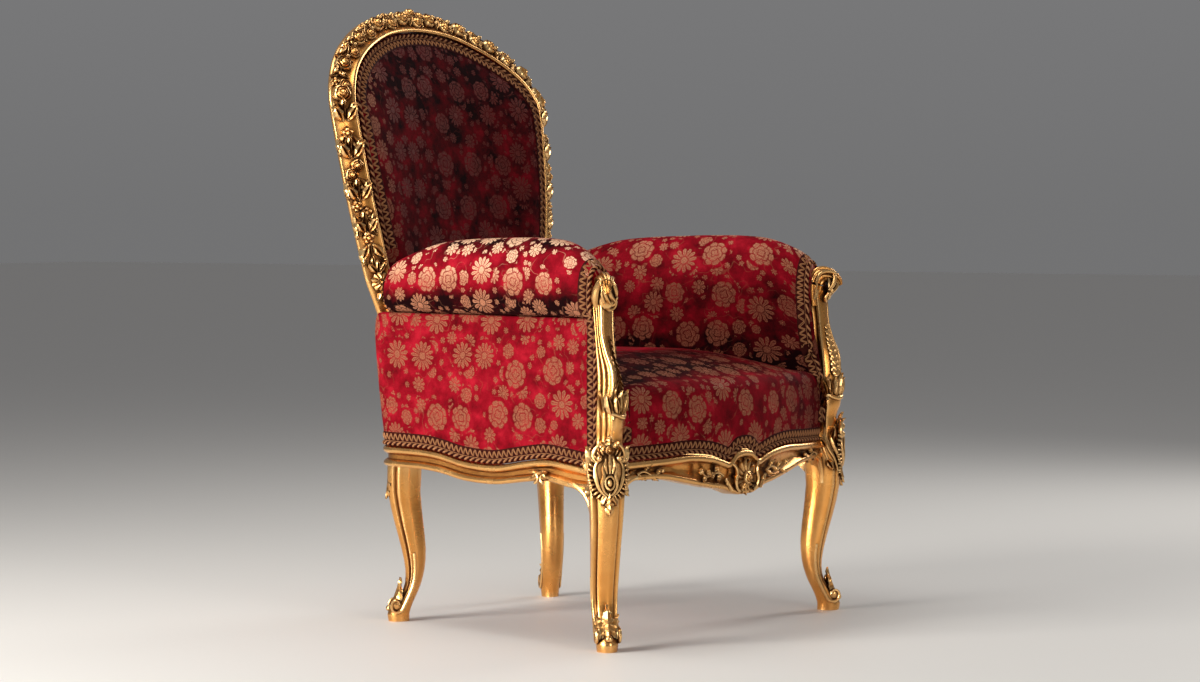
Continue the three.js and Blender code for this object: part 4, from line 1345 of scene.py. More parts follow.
def makeLowerBack(name):
    # the outside back below the frame, down to the rail
    end, _ = sideLine(sideEnd)
    hem = sideRailEdge(700) + 0.5
    half = end[0] - 1
    xs = np.linspace(-half, half, 41)
    top = chair["stileEnd"]
    heights = np.linspace(hem, top - 2, 22)
    lean = smoothRows([[hem, 0], [(hem + top) / 2, 12], [top, 25]])
    grid = np.array([[vec(x, end[1] + lean(z) + 4 * (1 - (x / half) ** 2) * math.sin(math.pi * (z - hem) / 260), z)
                      for x in xs] for z in heights])
    behind = grid - [0, 12, 0]
    cover, _ = closedCover(name, grid, -grid[:, :, 0], grid[:, :, 2], behind)
    finishCover(cover)
    return cover


def paint(cover, name, shade):
    # a number from 0 to 1 at each point of a cover, from its place in mm
    points = np.array([v.co for v in cover.data.vertices]) * 1000 - [0, feetY, 0]
    layer = cover.data.attributes.new(name, "FLOAT", "POINT")
    layer.data.foreach_set("value", np.clip(shade(points), 0, 1).astype(np.float32))


# painted light and shade on the seat's pile: lit towards the rear, dark over the front roll
def seatPaintedPileLight(p):
    x, y, z = p.T
    face = 0.62 - 0.3 * between(x, 60, 330)
    band = 0.10 + 0.35 * between(x, -80, 330)
    over = between(y, -22, 22) * between(z, 430, 462)
    rear = 1.02
    front = face * (1 - over) + band * over
    return front + (rear - front) * between(y, 130, 225)


# painted highlight and shade on the seat's threads: brighter at the front, darker towards the rear and towards
# positive x
def seatPaintedThreadLight(p):
    x, y = p[:, 0], p[:, 1]
    return 0.36 - 0.34 * between(y, 20, 180) - 0.2 * between(x, 80, 280)


def sideX(y):
    # how far out the side stands at a depth
    x0, y0 = chair["sideFront"]
    return x0 - (y - y0) * 0.159


# painted light and shade on the arm's pile: dark low down, lit on the outer side below the top of the roll, darker
# again along the top
def armPaintedPileLight(p):
    x, y, z = np.abs(p[:, 0]), p[:, 1], p[:, 2]
    line = sideX(y)
    outside = between(x, line - 22, line - 6)
    outer = 0.02 + 0.66 * between(z, 596, 636) - 0.5 * between(z, 676, 712)
    inner = 0.42 + 0.2 * between(z, 600, 660) - 0.4 * between(z, 560, 470)
    return outer * outside + inner * (1 - outside)


# painted highlight on the arm's threads, brightest high on the outer side, with painted shade lower down and inside
def armPaintedThreadLight(p):
    x, y, z = np.abs(p[:, 0]), p[:, 1], p[:, 2]
    line = sideX(y)
    outside = between(x, line - 40, line - 6)
    return (0.45 + 0.5 * between(z, 620, 690)) * outside + (0.22 + 0.25 * between(z, 600, 700)) * (1 - outside)


# painted shade on the back cushion's pile, darker high up and a little lighter towards the side at negative x
def backPaintedPileLight(p):
    x, z = p[:, 0], p[:, 2]
    return 0.30 - 0.18 * between(z, 880, 1010) + 0.08 * between(x, -120, -240)


# painted shade on the back cushion's threads, with a painted highlight towards the side at negative x
def backPaintedThreadLight(p):
    x, z = p[:, 0], p[:, 2]
    return 0.12 * between(z, 850, 1000) - 0.14 + 0.42 * between(x, -150, -235)


def evenly(amount):
    return lambda p: np.full(len(p), amount)


print("upholstering")
covers = {}
covers["seat_cushion"] = makeSeat()
covers["arm_cushion_right"] = makeArm()
covers["arm_cushion_left"] = mirrorPiece(covers["arm_cushion_right"], "arm_cushion_velvet_left")
covers["side_panel_right"] = makeSidePanel()
covers["side_panel_left"] = mirrorPiece(covers["side_panel_right"], "side_panel_velvet_left")
covers["back_cushion"] = makePad("back_cushion_velvet", 400, 5, 8, -26, backPad["pressure"], backPad["cap"])
upper = makePad("back_panel_velvet", 520, 22, 18, 8, 1.5, 3, 0.11)
lower = makeLowerBack("lower_back")
choose(lower, upper)
bpy.ops.object.join()
covers["back_panel"] = upper


# Gimp braid: a dark ground, a two-tone twisted cord along the show wood and a double zigzag
gimp = {
    "step": 1.3,
    "groundHalf": 12.4,
    "cordOffset": -8.8,
    "cordRadius": 1.9,
    "cordPitch": 14,
    "zigOffset": 3.8,
    "zigHalf": 6.0,
    "zigPitch": 12.5,
    "zigSpread": 1.9,
    "threadRadius": 0.72,
    "veinOffset": -4.4,
    "veinRadius": 0.6,
    "gripHalf": 9,
    "clear": 0.6,
    "lightColors": ((0.48, 0.23, 0.105), (0.22, 0.085, 0.036)),
    "darkColors": ((0.055, 0.009, 0.006), (0.016, 0.002, 0.002)),
}


def fabricTrees(names):
    graph = bpy.context.evaluated_depsgraph_get()
    return [BVHTree.FromObject(covers[name], graph) for name in names]


def layBraid(rows):
    # even stations along the band: the middle, the way across to the fabric side and outward
    a = np.array([r[0] for r in rows])
    b = np.array([r[1] for r in rows])
    outward = np.array([r[2] for r in rows])
    table = smoothPath(np.hstack([a, b, outward]), 400)
    middle = (table[:, :3] + table[:, 3:6]) / 2
    length = runLength(middle)
    at = np.linspace(0, length[-1], max(int(length[-1] / gimp["step"]), 8))
    table = np.stack([np.interp(at, length, table[:, k]) for k in range(9)], axis=1)
    return table, at


def onFabric(point, outward, trees, reach=16):
    # the nearest place of the fabric below a point, as seen from outside
    origin = Vector((point + outward * reach + [0, feetY, 0]) * 0.001)
    best = None
    for tree in trees:
        hit = tree.ray_cast(origin, Vector(-outward), 0.001 * reach * 2.2)
        if hit[0] is not None and (best is None or hit[3] < best[1]):
            best = (hit[0], hit[3])
    if best is None:
        return point
    return np.array(best[0]) * 1000 - [0, feetY, 0]


def ribbonParts(path, across, outward, half, thick):
    rings = []
    for p, s, o in zip(path, across, outward):
        rings.append([p - s * half, p - s * half * 0.9 + o * thick, p + s * half * 0.9 + o * thick, p + s * half])
    return loftParts(rings)


def loftParts(rings):
    # long thin trims, stitched from rings in one go
    rings = np.array(rings)
    n, count = rings.shape[:2]
    faces = []
    for i in range(n - 1):
        for j in range(count):
            a, b = i * count + j, i * count + (j + 1) % count
            faces.append((a, b, b + count, a + count))
    faces.append(tuple(range(count))[::-1])
    faces.append(tuple((n - 1) * count + j for j in range(count)))
    return rings.reshape(-1, 3), faces


def threadRings(path, radius, sides):
    along = np.gradient(path, axis=0)
    along /= np.linalg.norm(along, axis=1, keepdims=True)
    reference = np.array([0.31, 0.47, 0.83])
    rings = []
    normal = unit(np.cross(along[0], reference))
    for p, t in zip(path, along):
        normal = unit(normal - t * np.dot(normal, t))
        other = np.cross(t, normal)
        rings.append([p + (normal * math.cos(a) + other * math.sin(a)) * radius
                      for a in np.linspace(0, 2 * math.pi, sides + 1)[:-1]])
    return rings


def makeBraid(name, rows, fabricNames):
    trees = fabricTrees(fabricNames)
    clear, grip = gimp["clear"], gimp["gripHalf"]
    table, at = layBraid(rows)
    middle, outward, across = [], [], []
    for row in table:
        a, b, o = row[:3], row[3:6], unit(row[6:9])
        side = unit(b - a)
        edgeA = onFabric((a + b) / 2 - side * grip, o, trees)
        edgeB = onFabric((a + b) / 2 + side * grip, o, trees)
        middle.append((edgeA + edgeB) / 2)
        across.append(unit(edgeB - edgeA))
        outward.append(o)
    soft = np.ones(9) / 9
    middle, across, outward = [np.array(k) for k in (middle, across, outward)]
    padded = np.pad(middle, ((4, 4), (0, 0)), mode="edge")
    middle = np.stack([np.convolve(padded[:, k], soft, "valid") for k in range(3)], axis=1)
    ends = min(4, len(at) // 3)
    middle[:ends] = middle[ends] + (at[:ends] - at[ends])[:, None] * unit(middle[ends + 1] - middle[ends])
    last = -ends - 1
    middle[-ends:] = middle[last] + (at[-ends:] - at[last])[:, None] * unit(middle[last] - middle[last - 1])
    along = np.gradient(middle, axis=0)
    along /= np.linalg.norm(along, axis=1, keepdims=True)
    across = across - along * np.sum(across * along, axis=1, keepdims=True)
    across /= np.linalg.norm(across, axis=1, keepdims=True)
    facing = np.cross(along, across)
    facing *= np.sign(np.sum(facing * outward, axis=1, keepdims=True))
    light, dark = [], []
    dark.append(ribbonParts(middle, across, facing, gimp["groundHalf"], clear + 0.5))
    # the cord: two strands wound round each other
    for strand, bunch in ((0, light), (1, dark)):
        turn = at / gimp["cordPitch"] * 2 * math.pi + strand * math.pi
        radius = gimp["cordRadius"]
        path = (middle + across * (gimp["cordOffset"] + radius * np.cos(turn))[:, None]
                + facing * (clear + radius + radius * 0.9 * np.sin(turn))[:, None])
        bunch.append(loftParts(threadRings(path, radius, 6)))
    # the zigzag: two threads side by side
    for shift in (-0.5, 0.5):
        phase = (at + shift * gimp["zigSpread"]) / gimp["zigPitch"] * 2 * math.pi
        swing = np.arcsin(np.sin(phase) * 0.96) / math.asin(0.96)
        path = (middle + across * (gimp["zigOffset"] + gimp["zigHalf"] * swing)[:, None]
                + facing * (clear + 1.2 + 0.5 * np.cos(phase * 2))[:, None])
        light.append(loftParts(threadRings(path, gimp["threadRadius"], 4)))
    # a thin cord between the two
    path = middle + across * gimp["veinOffset"] + facing * (clear + 1.0)
    light.append(loftParts(threadRings(path, gimp["veinRadius"], 4)))
    lightPiece = makePiece(name, light, 60)
    darkPiece = makePiece(name + "_ground", dark, 60)
    lightPiece.data.materials.append(gimpLight)
    darkPiece.data.materials.append(gimpDark)
    choose(darkPiece, lightPiece)
    bpy.ops.object.join()
    return lightPiece


# Materials


def calc(tree, operation, *values, clamp=False):
    made = tree.nodes.new("ShaderNodeMath")
    made.operation = operation
    made.use_clamp = clamp
    for i, value in enumerate(values):
        if isinstance(value, bpy.types.NodeSocket):
            tree.links.new(value, made.inputs[i])
        else:
            made.inputs[i].default_value = value
    return made.outputs[0]


def newMaterial(name):
    material = bpy.data.materials.new(name)
    material.use_nodes = True
    tree = material.node_tree
    shader = tree.nodes["Principled BSDF"]
    return material, tree, shader


def noise(tree, vector, scale, detail=3, roughness=0.55):
    made = tree.nodes.new("ShaderNodeTexNoise")
    made.inputs["Scale"].default_value = scale
    made.inputs["Detail"].default_value = detail
    made.inputs["Roughness"].default_value = roughness
    tree.links.new(vector, made.inputs["Vector"])
    return made.outputs["Fac"]


def ramp(tree, value, stops):
    made = tree.nodes.new("ShaderNodeValToRGB")
    tree.links.new(value, made.inputs["Fac"])
    elements = made.color_ramp.elements
    while len(elements) < len(stops):
        elements.new(0.5)
    for element, (position, color) in zip(elements, stops):
        element.position = position
        element.color = (*color, 1)
    return made.outputs["Color"]


def mixColor(tree, factor, a, b):
    made = tree.nodes.new("ShaderNodeMix")
    made.data_type = "RGBA"
    for socket, value in ((made.inputs[0], factor), (made.inputs[6], a), (made.inputs[7], b)):
        if isinstance(value, bpy.types.NodeSocket):
            tree.links.new(value, socket)
        elif isinstance(value, tuple):
            socket.default_value = (*value, 1)
        else:
            socket.default_value = value
    return made.outputs[2]


def roughen(tree, shader, height, strength, depth):
    bump = tree.nodes.new("ShaderNodeBump")
    bump.inputs["Strength"].default_value = strength
    bump.inputs["Distance"].default_value = depth
    tree.links.new(height, bump.inputs["Height"])
    tree.links.new(bump.outputs["Normal"], shader.inputs["Normal"])

gilding = {
    "leaf": (1.0, 0.50, 0.14),
    "leafDeep": (0.66, 0.235, 0.04),
    # paler leaf of rubbed edges, painted also as a highlight
    "wornHighlight": (1.0, 0.66, 0.29),
    # dark brown of the glaze, painted also as shade in the hollows
    "shadedGlaze": (0.075, 0.018, 0.003),
    "recess": 0.012,
    "cloudScale": 24,
    "grainScale": 260,
}


def makeGilding():
    material, tree, shader = newMaterial("burnishedGilding")
    spot = tree.nodes.new("ShaderNodeTexCoord").outputs["Object"]
    hollow = tree.nodes.new("ShaderNodeAmbientOcclusion")
    hollow.samples = 6
    hollow.only_local = True
    hollow.inputs["Distance"].default_value = gilding["recess"]
    cloud = noise(tree, spot, gilding["cloudScale"], 4)
    fine = noise(tree, spot, gilding["grainScale"], 3)
    # brown glaze and painted shade in the hollows, where ambient occlusion finds close surfaces, and paler leaf with
    # a painted highlight on the sharpest edges, where they are rubbed
    unevenness = calc(tree, "MULTIPLY", calc(tree, "SUBTRACT", fine, 0.5), 0.16)
    openness = calc(tree, "ADD", hollow.outputs["AO"], unevenness)
    # painted shade in the hollows, with the brown glaze
    glazeAndShade = ramp(tree, openness, [(0.55, (1, 1, 1)), (0.96, (0, 0, 0))])
    edge = tree.nodes.new("ShaderNodeNewGeometry").outputs["Pointiness"]
    # paler leaf on the sharpest edges: rubbed gilding and a painted highlight
    rubbedHighlight = ramp(tree, edge, [(0.5, (0, 0, 0)), (0.6, (1, 1, 1))])
    color = mixColor(tree, cloud, gilding["leafDeep"], gilding["leaf"])
    color = mixColor(tree, rubbedHighlight, color, gilding["wornHighlight"])
    # hollows painted dark brown: glaze and painted shade
    color = mixColor(tree, glazeAndShade, color, gilding["shadedGlaze"])
    tree.links.new(color, shader.inputs["Base Color"])
    metal = ramp(tree, openness, [(0.4, (0.8, 0.8, 0.8)), (0.75, (1, 1, 1))])
    tree.links.new(metal, shader.inputs["Metallic"])
    rough = calc(tree, "MULTIPLY_ADD", cloud, 0.2, 0.16)
    rough = calc(tree, "ADD", rough, calc(tree, "MULTIPLY", glazeAndShade, 0.3))
    tree.links.new(rough, shader.inputs["Roughness"])
    height = calc(tree, "ADD", fine, calc(tree, "MULTIPLY", noise(tree, spot, 70, 2), 1.2))
    roughen(tree, shader, height, 0.3, 0.0006)
    return material


fabric = {
    # the ground's colours, from deepest painted shade to lit crimson
    "pileDeepShade": (0.007, 0.0004, 0.0008),
    "pileShaded": (0.070, 0.0012, 0.003),
    "pileHalfLit": (0.20, 0.002, 0.008),
    "pileLit": (0.36, 0.008, 0.020),
    # thread colours, from painted shade through the plain thread to painted highlight
    "threadShaded": (0.085, 0.008, 0.007),
    "thread": (0.39, 0.145, 0.075),
    "threadLit": (0.80, 0.50, 0.32),
    "waverScale": 170,
    "stemScale": 30,
    "fleckScale": 520,
    "crushScale": 21,
    "weaveScale": 260,
    "sheen": 0.03,
    "specular": 0.04,
}
# woven motifs in three sizes: spacing and largest radius in mm, petals, share of roses
motifs = {
    "large": (78, 27, 11, 0.42, 1.0),
    "medium": (43, 15, 8, 0.2, 0.68),
    "small": (22, 6, 5, 0.0, 0.62),
    "scatter": 0.6,
}


def step(group, value, edge, sharpness):
    # 0 below the edge and 1 above it; a negative sharpness turns it round
    return calc(group, "MULTIPLY", calc(group, "SUBTRACT", value, edge), sharpness, clamp=True)


def motifGroup():
    # a daisy or a rose of radius 1 round the origin, drawn as the loom draws it
    group = bpy.data.node_groups.new("wovenMotif", "ShaderNodeTree")
    for label in ("X", "Y", "Petals", "Turn", "Rose"):
        group.interface.new_socket(label, in_out="INPUT", socket_type="NodeSocketFloat")
    group.interface.new_socket("Mask", in_out="OUTPUT", socket_type="NodeSocketFloat")
    source = group.nodes.new("NodeGroupInput").outputs
    out = group.nodes.new("NodeGroupOutput")
    x, y, isRose = source["X"], source["Y"], source["Rose"]
    square = calc(group, "ADD", calc(group, "MULTIPLY", x, x), calc(group, "MULTIPLY", y, y))
    r = calc(group, "SQRT", square)
    angle = calc(group, "ADD", calc(group, "ARCTAN2", y, x), source["Turn"])
    turn = calc(group, "MULTIPLY", angle, calc(group, "MULTIPLY", source["Petals"], 0.5))
    wave = calc(group, "ABSOLUTE", calc(group, "COSINE", turn))
    tip = calc(group, "MULTIPLY_ADD", calc(group, "POWER", wave, 0.6), 0.48, 0.52)
    petal = calc(group, "MULTIPLY", calc(group, "SUBTRACT", tip, r), 14, clamp=True)
    gap = calc(group, "MAXIMUM", step(group, wave, 0.34, 6), step(group, r, 0.4, -10))
    vein = calc(group, "MAXIMUM", step(group, wave, 0.985, -60), step(group, r, 0.42, -12))
    vein = calc(group, "MULTIPLY_ADD", calc(group, "MAXIMUM", vein, step(group, r, 0.84, 12)), 0.65, 0.35)
    ring = calc(group, "ABSOLUTE", calc(group, "SUBTRACT", r, 0.3))
    ring = calc(group, "MULTIPLY_ADD", step(group, ring, 0.035, 30), 0.75, 0.25)
    daisy = calc(group, "MULTIPLY", calc(group, "MULTIPLY", petal, gap), calc(group, "MULTIPLY", vein, ring))
    lobe = calc(group, "ABSOLUTE", calc(group, "COSINE", calc(group, "MULTIPLY", angle, 4)))
    disc = calc(group, "SUBTRACT", calc(group, "MULTIPLY_ADD", lobe, 0.1, 0.86), r)
    disc = calc(group, "MULTIPLY", disc, 16, clamp=True)
    # petals lapped round a heart, in dark lines: two scalloped rings, and rays between them
    outer = calc(group, "ABSOLUTE", calc(group, "COSINE", calc(group, "MULTIPLY", angle, 2.5)))
    inner = calc(group, "ABSOLUTE", calc(group, "SINE", calc(group, "MULTIPLY", angle, 2)))
    first = calc(group, "SUBTRACT", r, calc(group, "MULTIPLY_ADD", outer, 0.14, 0.5))
    second = calc(group, "SUBTRACT", r, calc(group, "MULTIPLY_ADD", inner, 0.12, 0.2))
    drawn = calc(group, "MULTIPLY", step(group, calc(group, "ABSOLUTE", first), 0.025, 30),
                 step(group, calc(group, "ABSOLUTE", second), 0.025, 30))
    rays = calc(group, "MAXIMUM", step(group, lobe, 0.16, 8), step(group, first, 0.02, -40))
    hatch = calc(group, "SINE", calc(group, "MULTIPLY_ADD", r, 26, calc(group, "MULTIPLY", angle, 3)))
    shade = calc(group, "MULTIPLY_ADD", hatch, 0.2, 0.8)
    drawn = calc(group, "MULTIPLY", calc(group, "MULTIPLY", drawn, rays), shade)
    rose = calc(group, "MULTIPLY", disc, calc(group, "MULTIPLY_ADD", drawn, 0.85, 0.12))
    made = group.nodes.new("ShaderNodeMix")
    group.links.new(isRose, made.inputs[0])
    group.links.new(daisy, made.inputs[2])
    group.links.new(rose, made.inputs[3])
    group.links.new(made.outputs[0], out.inputs["Mask"])
    return group


def voronoi(tree, vector, feature, spacing):
    made = tree.nodes.new("ShaderNodeTexVoronoi")
    made.voronoi_dimensions = "2D"
    made.feature = feature
    made.inputs["Scale"].default_value = 1000 / spacing
    made.inputs["Randomness"].default_value = motifs["scatter"]
    tree.links.new(vector, made.inputs["Vector"])
    return made.outputs


def motifLayer(tree, group, spot, spacing, biggest, petals, roseShare, share):
    # one motif to a cell, as large as the cell lets it be
    cell = voronoi(tree, spot, "F1", spacing)
    room = calc(tree, "MULTIPLY", voronoi(tree, spot, "N_SPHERE_RADIUS", spacing)["Radius"], spacing * 0.0009)
    radius = calc(tree, "MINIMUM", room, biggest * 0.001)
    offset = tree.nodes.new("ShaderNodeVectorMath")
    offset.operation = "SUBTRACT"
    tree.links.new(spot, offset.inputs[0])
    tree.links.new(cell["Position"], offset.inputs[1])
    across = tree.nodes.new("ShaderNodeSeparateXYZ")
    tree.links.new(offset.outputs[0], across.inputs[0])
    chance = tree.nodes.new("ShaderNodeSeparateColor")
    tree.links.new(cell["Color"], chance.inputs[0])
    x = calc(tree, "DIVIDE", across.outputs["X"], radius)
    y = calc(tree, "DIVIDE", across.outputs["Y"], radius)
    count = calc(tree, "FLOOR", calc(tree, "MULTIPLY_ADD", chance.outputs[0], 3.9, petals))
    made = tree.nodes.new("ShaderNodeGroup")
    made.node_tree = group
    for label, value in (("X", x), ("Y", y), ("Petals", count),
                         ("Turn", calc(tree, "MULTIPLY", chance.outputs[2], 6.28)),
                         ("Rose", calc(tree, "LESS_THAN", chance.outputs[1], roseShare))):
        tree.links.new(value, made.inputs[label])
    distance = calc(tree, "SQRT", calc(tree, "ADD", calc(tree, "MULTIPLY", x, x), calc(tree, "MULTIPLY", y, y)))
    shown = calc(tree, "LESS_THAN", chance.outputs[2], share)
    free = calc(tree, "MAXIMUM", step(tree, distance, 1.16, 9), calc(tree, "SUBTRACT", 1, shown))
    return calc(tree, "MULTIPLY", made.outputs[0], shown), free


def paintedNumber(tree, name):
    made = tree.nodes.new("ShaderNodeAttribute")
    made.attribute_name = name
    return made.outputs["Fac"]


def makeVelvet():
    material, tree, shader = newMaterial("wovenVelvet")
    uv = tree.nodes.new("ShaderNodeUVMap")
    uv.uv_map = "clothMap"
    spot = uv.outputs["UV"]
    # the outlines are woven, so they waver a little
    waver = tree.nodes.new("ShaderNodeTexNoise")
    waver.inputs["Scale"].default_value = fabric["waverScale"]
    waver.inputs["Detail"].default_value = 3
    tree.links.new(spot, waver.inputs["Vector"])
    spread = tree.nodes.new("ShaderNodeVectorMath")
    spread.operation = "MULTIPLY_ADD"
    tree.links.new(waver.outputs["Color"], spread.inputs[0])
    spread.inputs[1].default_value = (0.005, 0.005, 0)
    tree.links.new(spot, spread.inputs[2])
    woven = spread.outputs[0]
    group = motifGroup()
    mask, clear = motifLayer(tree, group, woven, *motifs["large"])
    for size in ("medium", "small"):
        layer, around = motifLayer(tree, group, woven, *motifs[size])
        mask = calc(tree, "MAXIMUM", mask, calc(tree, "MULTIPLY", layer, clear))
        clear = calc(tree, "MULTIPLY", clear, around)
    # trailing stems, thin curls that come and go
    trail = noise(tree, spot, fabric["stemScale"], 1, 0.4)
    stem = calc(tree, "ABSOLUTE", calc(tree, "SUBTRACT", trail, 0.5))
    stem = step(tree, stem, 0.014, -90)
    stem = calc(tree, "MULTIPLY", stem, step(tree, noise(tree, spot, 17, 1), 0.48, 9))
    fleck = noise(tree, spot, fabric["fleckScale"], 2, 0.75)
    flecks = calc(tree, "SUBTRACT", fleck, 0.5)
    # the ground shades from crimson to nearly black: noise for pile that lies unevenly, and painted light and shade
    # laid on each cover by place
    crush = calc(tree, "SUBTRACT", noise(tree, spot, fabric["crushScale"], 4, 0.62), 0.5)
    pileToneAndLight = calc(tree, "MULTIPLY_ADD", crush, 1.5, paintedNumber(tree, "paintedPileLight"))
    pileToneAndLight = calc(tree, "MULTIPLY_ADD", flecks, 0.28, pileToneAndLight)
    # the ramp turns the painted light and the uneven pile into colours from nearly black in shade to lit crimson
    ground = ramp(tree, pileToneAndLight, [(0.06, fabric["pileDeepShade"]), (0.34, fabric["pileShaded"]),
                               (0.66, fabric["pileHalfLit"]), (0.95, fabric["pileLit"])])
    # threads of the motifs: fine slanting weave, with painted shade and painted highlight laid on each cover by place
    weave = tree.nodes.new("ShaderNodeTexWave")
    weave.wave_type = "BANDS"
    weave.bands_direction = "DIAGONAL"
    weave.inputs["Scale"].default_value = fabric["weaveScale"]
    weave.inputs["Distortion"].default_value = 3
    weave.inputs["Detail"].default_value = 2
    tree.links.new(spot, weave.inputs["Vector"])
    paintedThreadLight = calc(tree, "MULTIPLY_ADD", calc(tree, "SUBTRACT", weave.outputs["Fac"], 0.5), 0.35,
                  paintedNumber(tree, "paintedThreadLight"))
    paintedThreadLight = calc(tree, "MULTIPLY_ADD", flecks, 0.5, paintedThreadLight)
    thread = ramp(tree, paintedThreadLight, [(0.1, fabric["threadShaded"]), (0.5, fabric["thread"]),
                                 (0.95, fabric["threadLit"])])
    cover = calc(tree, "MULTIPLY_ADD", calc(tree, "MULTIPLY", mask, flecks), 2.2, mask, clamp=True)
    ground = mixColor(tree, calc(tree, "MULTIPLY", stem, 0.3), ground, thread)
    color = mixColor(tree, cover, ground, thread)
    tree.links.new(color, shader.inputs["Base Color"])
    rough = calc(tree, "MULTIPLY_ADD", mask, -0.34, 0.82)
    tree.links.new(rough, shader.inputs["Roughness"])
    shader.inputs["Sheen Weight"].default_value = fabric["sheen"]
    shader.inputs["Sheen Roughness"].default_value = 0.35
    shader.inputs["Sheen Tint"].default_value = (1.0, 0.12, 0.12, 1)
    shader.inputs["Specular IOR Level"].default_value = fabric["specular"]
    height = calc(tree, "MULTIPLY_ADD", mask, -0.6, calc(tree, "MULTIPLY", weave.outputs["Fac"], 0.25))
    height = calc(tree, "ADD", height, calc(tree, "MULTIPLY", fleck, 0.7))
    roughen(tree, shader, height, 0.5, 0.0009)
    return material


def makeThread(name, light, deep):
    material, tree, shader = newMaterial(name)
    spot = tree.nodes.new("ShaderNodeTexCoord").outputs["Object"]
    strands = noise(tree, spot, 800, 2, 0.7)
    tree.links.new(mixColor(tree, strands, deep, light), shader.inputs["Base Color"])
    shader.inputs["Roughness"].default_value = 0.6
    shader.inputs["Specular IOR Level"].default_value = 0.03
    roughen(tree, shader, strands, 0.5, 0.0005)
    return material


print("mixing materials")
gilt = makeGilding()
velvet = makeVelvet()
gimpLight = makeThread("gimpThread", *gimp["lightColors"])
gimpDark = makeThread("gimpShade", *gimp["darkColors"])

print("stitching the braid")


def seatBraidRows():
    rows = []
    for x in np.linspace(-326, 326, 90):
        hem = frontRailEdge(abs(x)) + 1.5
        out = unit(vec(x * 0.0007, -1, 0.08))
        rows.append([vec(x, frontLine(x) + 2, hem), vec(x, frontLine(x) + 1, hem + chair["braidWidth"]), out])
    return rows


def sideBraidRows():
    rows = []
    for d in list(np.linspace(0, sideRun, 60)) + list(np.linspace(sideRun, sideEnd, 16))[1:]:
        w = sideRailEdge(d) + 1.5
        rows.append([sideFabric(d, 2, w), sideFabric(d, 2, w + chair["braidWidth"]), sideLine(d)[1]])
    return rows


def postBraidRows():
    width = chair["braidWidth"]
    rows = []
    # up the outer side, behind the post
    hem = sideRailEdge(width) + width + 4
    for w in np.linspace(hem, chair["creaseHeight"] - 16, 16):
        rows.append([sideFabric(-3, 3.2, w), sideFabric(-3 + width, 3.2, w), sideLine(0)[1]])
    # over the end of the roll and down its inner side
    core = (-36, 600)
    near, far = armSection(10), armSection(6 + width)
    for k in range(3, len(near) - 6, 2):
        n, w = near[k]
        if w < 486 and n < -20:
            continue
        edges = []
        for d, (m, v) in ((6, near[k]), (6 + width, far[k])):
            away = unit(vec(m - core[0], v - core[1], 0))
            edges.append(armPoint(d, m, v) + (sideOutward * away[0] + vec(0, 0, away[1])) * 2)
        away = unit(vec(n - core[0], w - core[1], 0))
        rows.append([*edges, sideOutward * away[0] + vec(0, 0, away[1])])
    # down the edge of the seat's front, turning to face forward
    for w in (474, 458):
        turn = (480 - w) / 50
        a = vec(338, postEdgeY(w) + 2, w)
        b = a + vec(-8 - 12 * turn, 26 - 26 * turn, 0)
        rows.append([a, b, unit(vec(-1 + turn, -0.3 - turn, 0))])
    for w in np.linspace(438, 362, 9):
        rows.append([vec(337, frontLine(337) - 4, w), vec(311, frontLine(311) - 4, w), unit(vec(-0.05, -1, 0))])
    return rows


def backBraidRows():
    rows = []
    for t in np.linspace(outlineFraction(690), 1 - outlineFraction(690), 130):
        rows.append([padPoint(t, -3, 2), padPoint(t, -3 - chair["braidWidth"], -12), vec(0, -1, 0)])
    return rows


def rearBraidRows():
    rows = []
    for t in np.linspace(outlineFraction(560), 1 - outlineFraction(560), 130):
        rows.append([padPoint(t, -5, 25), padPoint(t, -5 - chair["braidWidth"], 30), vec(0, 1, 0)])
    return rows


braids = {}
braids["seat_braid"] = makeBraid("seat_braid_stitched", seatBraidRows(), ["seat_cushion"])
braids["side_braid_right"] = makeBraid("side_braid_stitched_right", sideBraidRows(), ["side_panel_right"])
braids["side_braid_left"] = mirrorPiece(braids["side_braid_right"], "side_braid_stitched_left")
braids["post_braid_right"] = makeBraid("post_braid_stitched_right", postBraidRows(),
                                       ["side_panel_right", "arm_cushion_right", "seat_cushion"])
braids["post_braid_left"] = mirrorPiece(braids["post_braid_right"], "post_braid_stitched_left")
braids["back_braid"] = makeBraid("back_braid_stitched", backBraidRows(), ["back_cushion"])
braids["rear_braid"] = makeBraid("rear_braid_stitched", rearBraidRows(), ["back_panel"])

# painted light and shade on the velvet's pile and threads, by place on each cover
for node, paintedPileLight, paintedThreadLight in (
        ("seat_cushion", seatPaintedPileLight, seatPaintedThreadLight), ("arm_cushion_right", armPaintedPileLight, armPaintedThreadLight),
        ("arm_cushion_left", armPaintedPileLight, armPaintedThreadLight), ("side_panel_right", evenly(0.68), evenly(0.32)),
        ("side_panel_left", evenly(0.68), evenly(0.32)), ("back_cushion", backPaintedPileLight, backPaintedThreadLight),
        ("back_panel", evenly(0.6), evenly(0.35))):
    paint(covers[node], "paintedPileLight", paintedPileLight)
    paint(covers[node], "paintedThreadLight", paintedThreadLight)

print("fitting everything to the frame")
for node, piece in gilded.items():
    piece.data.materials.append(gilt)
    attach(piece, "root")
    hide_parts(node)
for node, piece in covers.items():
    piece.data.materials.clear()
    piece.data.materials.append(velvet)
    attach(piece, "root")
    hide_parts(node)
for node, piece in braids.items():
    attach(piece, "root")
    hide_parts(node)


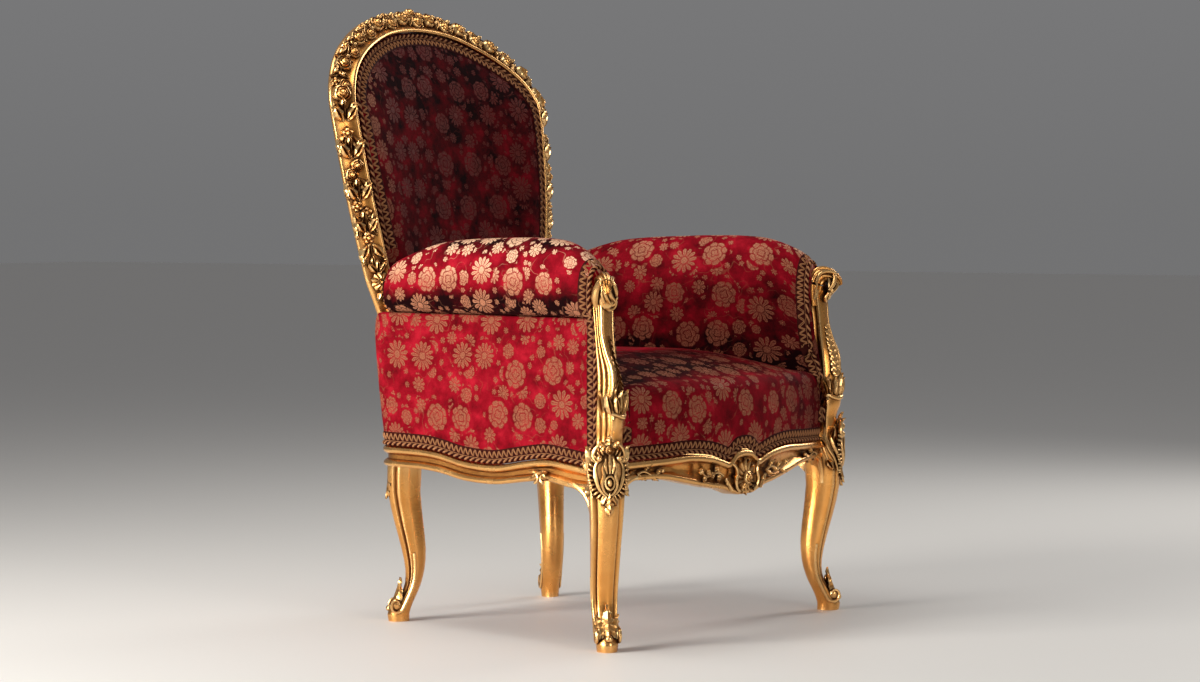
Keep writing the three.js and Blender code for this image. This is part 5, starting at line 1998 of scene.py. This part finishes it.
# Studio
studio = {
    "floorSize": 60,
    "floorColor": (0.72, 0.70, 0.67),
    "air": (0.17, 0.17, 0.172),
    "airAbove": (0.21, 0.21, 0.215),
    "lens": 99.07,
    "cameraPlace": (-5.0424, -3.25825 + feetY * 0.001, 0.76673),
    "cameraYaw": 0.95972163,
    "cameraPitch": -0.0400283685,
    # name, place, what it faces, width and height, power, colour
    "softboxes": (
        ("softboxLeft", (-3.4, 1.1, 1.5), (0, 0, 0.55), (1.3, 2.4), 147, (1, 0.97, 0.92)),
        ("softboxLow", (-3.3, 0.9, 0.55), (-0.4, 0, 0.35), (1.2, 0.6), 24, (1, 0.96, 0.9)),
        ("softboxFront", (-1.6, -4.4, 1.5), (0, 0, 0.5), (1.0, 1.8), 45, (1, 0.97, 0.92)),
        ("softboxTop", (-0.6, 0.6, 3.2), (0, 0, 0.5), (1.6, 1.6), 40, (1, 0.98, 0.95)),
        ("softboxRight", (3.4, -0.6, 2.2), (0.2, 0, 0.2), (0.9, 1.6), 40, (1, 0.98, 0.95)),
    ),
}


def makeFloor():
    deselectAll()
    bpy.ops.mesh.primitive_plane_add(size=studio["floorSize"], location=(0, 0, 0))
    floor = bpy.context.object
    floor.name = "studio_floor"
    material, _, shader = newMaterial("paleFloor")
    shader.inputs["Base Color"].default_value = (*studio["floorColor"], 1)
    shader.inputs["Roughness"].default_value = 0.55
    floor.data.materials.append(material)


def areaLight(name, spot, target, size, power, color):
    light = bpy.data.lights.new(name, "AREA")
    light.shape = "RECTANGLE"
    light.size, light.size_y = size
    light.energy = power
    light.color = color
    lamp = bpy.data.objects.new(name, light)
    bpy.context.collection.objects.link(lamp)
    lamp.location = spot
    lamp.rotation_euler = (Vector(target) - Vector(spot)).to_track_quat("-Z", "Y").to_euler()


def makeCamera():
    cameraData = bpy.data.cameras.new("photographView")
    cameraData.lens = studio["lens"]
    cameraData.sensor_width = 36
    camera = bpy.data.objects.new("photographView", cameraData)
    bpy.context.collection.objects.link(camera)
    camera.location = studio["cameraPlace"]
    camera.rotation_euler = (math.pi / 2 + studio["cameraPitch"], 0, -studio["cameraYaw"])
    bpy.context.scene.camera = camera


def makeStudioAir():
    # pale air low down, dimmer overhead
    world = bpy.data.worlds.new("studioAir")
    bpy.context.scene.world = world
    world.use_nodes = True
    tree = world.node_tree
    coordinates = tree.nodes.new("ShaderNodeTexCoord")
    parts = tree.nodes.new("ShaderNodeSeparateXYZ")
    tree.links.new(coordinates.outputs["Generated"], parts.inputs[0])
    shade = ramp(tree, parts.outputs["Z"], [(0.0, studio["air"]), (0.16, studio["airAbove"])])
    tree.links.new(shade, tree.nodes["Background"].inputs["Color"])
    tree.nodes["Background"].inputs["Strength"].default_value = 1


print("lighting the studio")
makeFloor()
for softbox in studio["softboxes"]:
    areaLight(*softbox)
makeCamera()
makeStudioAir()
bpy.context.scene.view_settings.view_transform = "Standard"
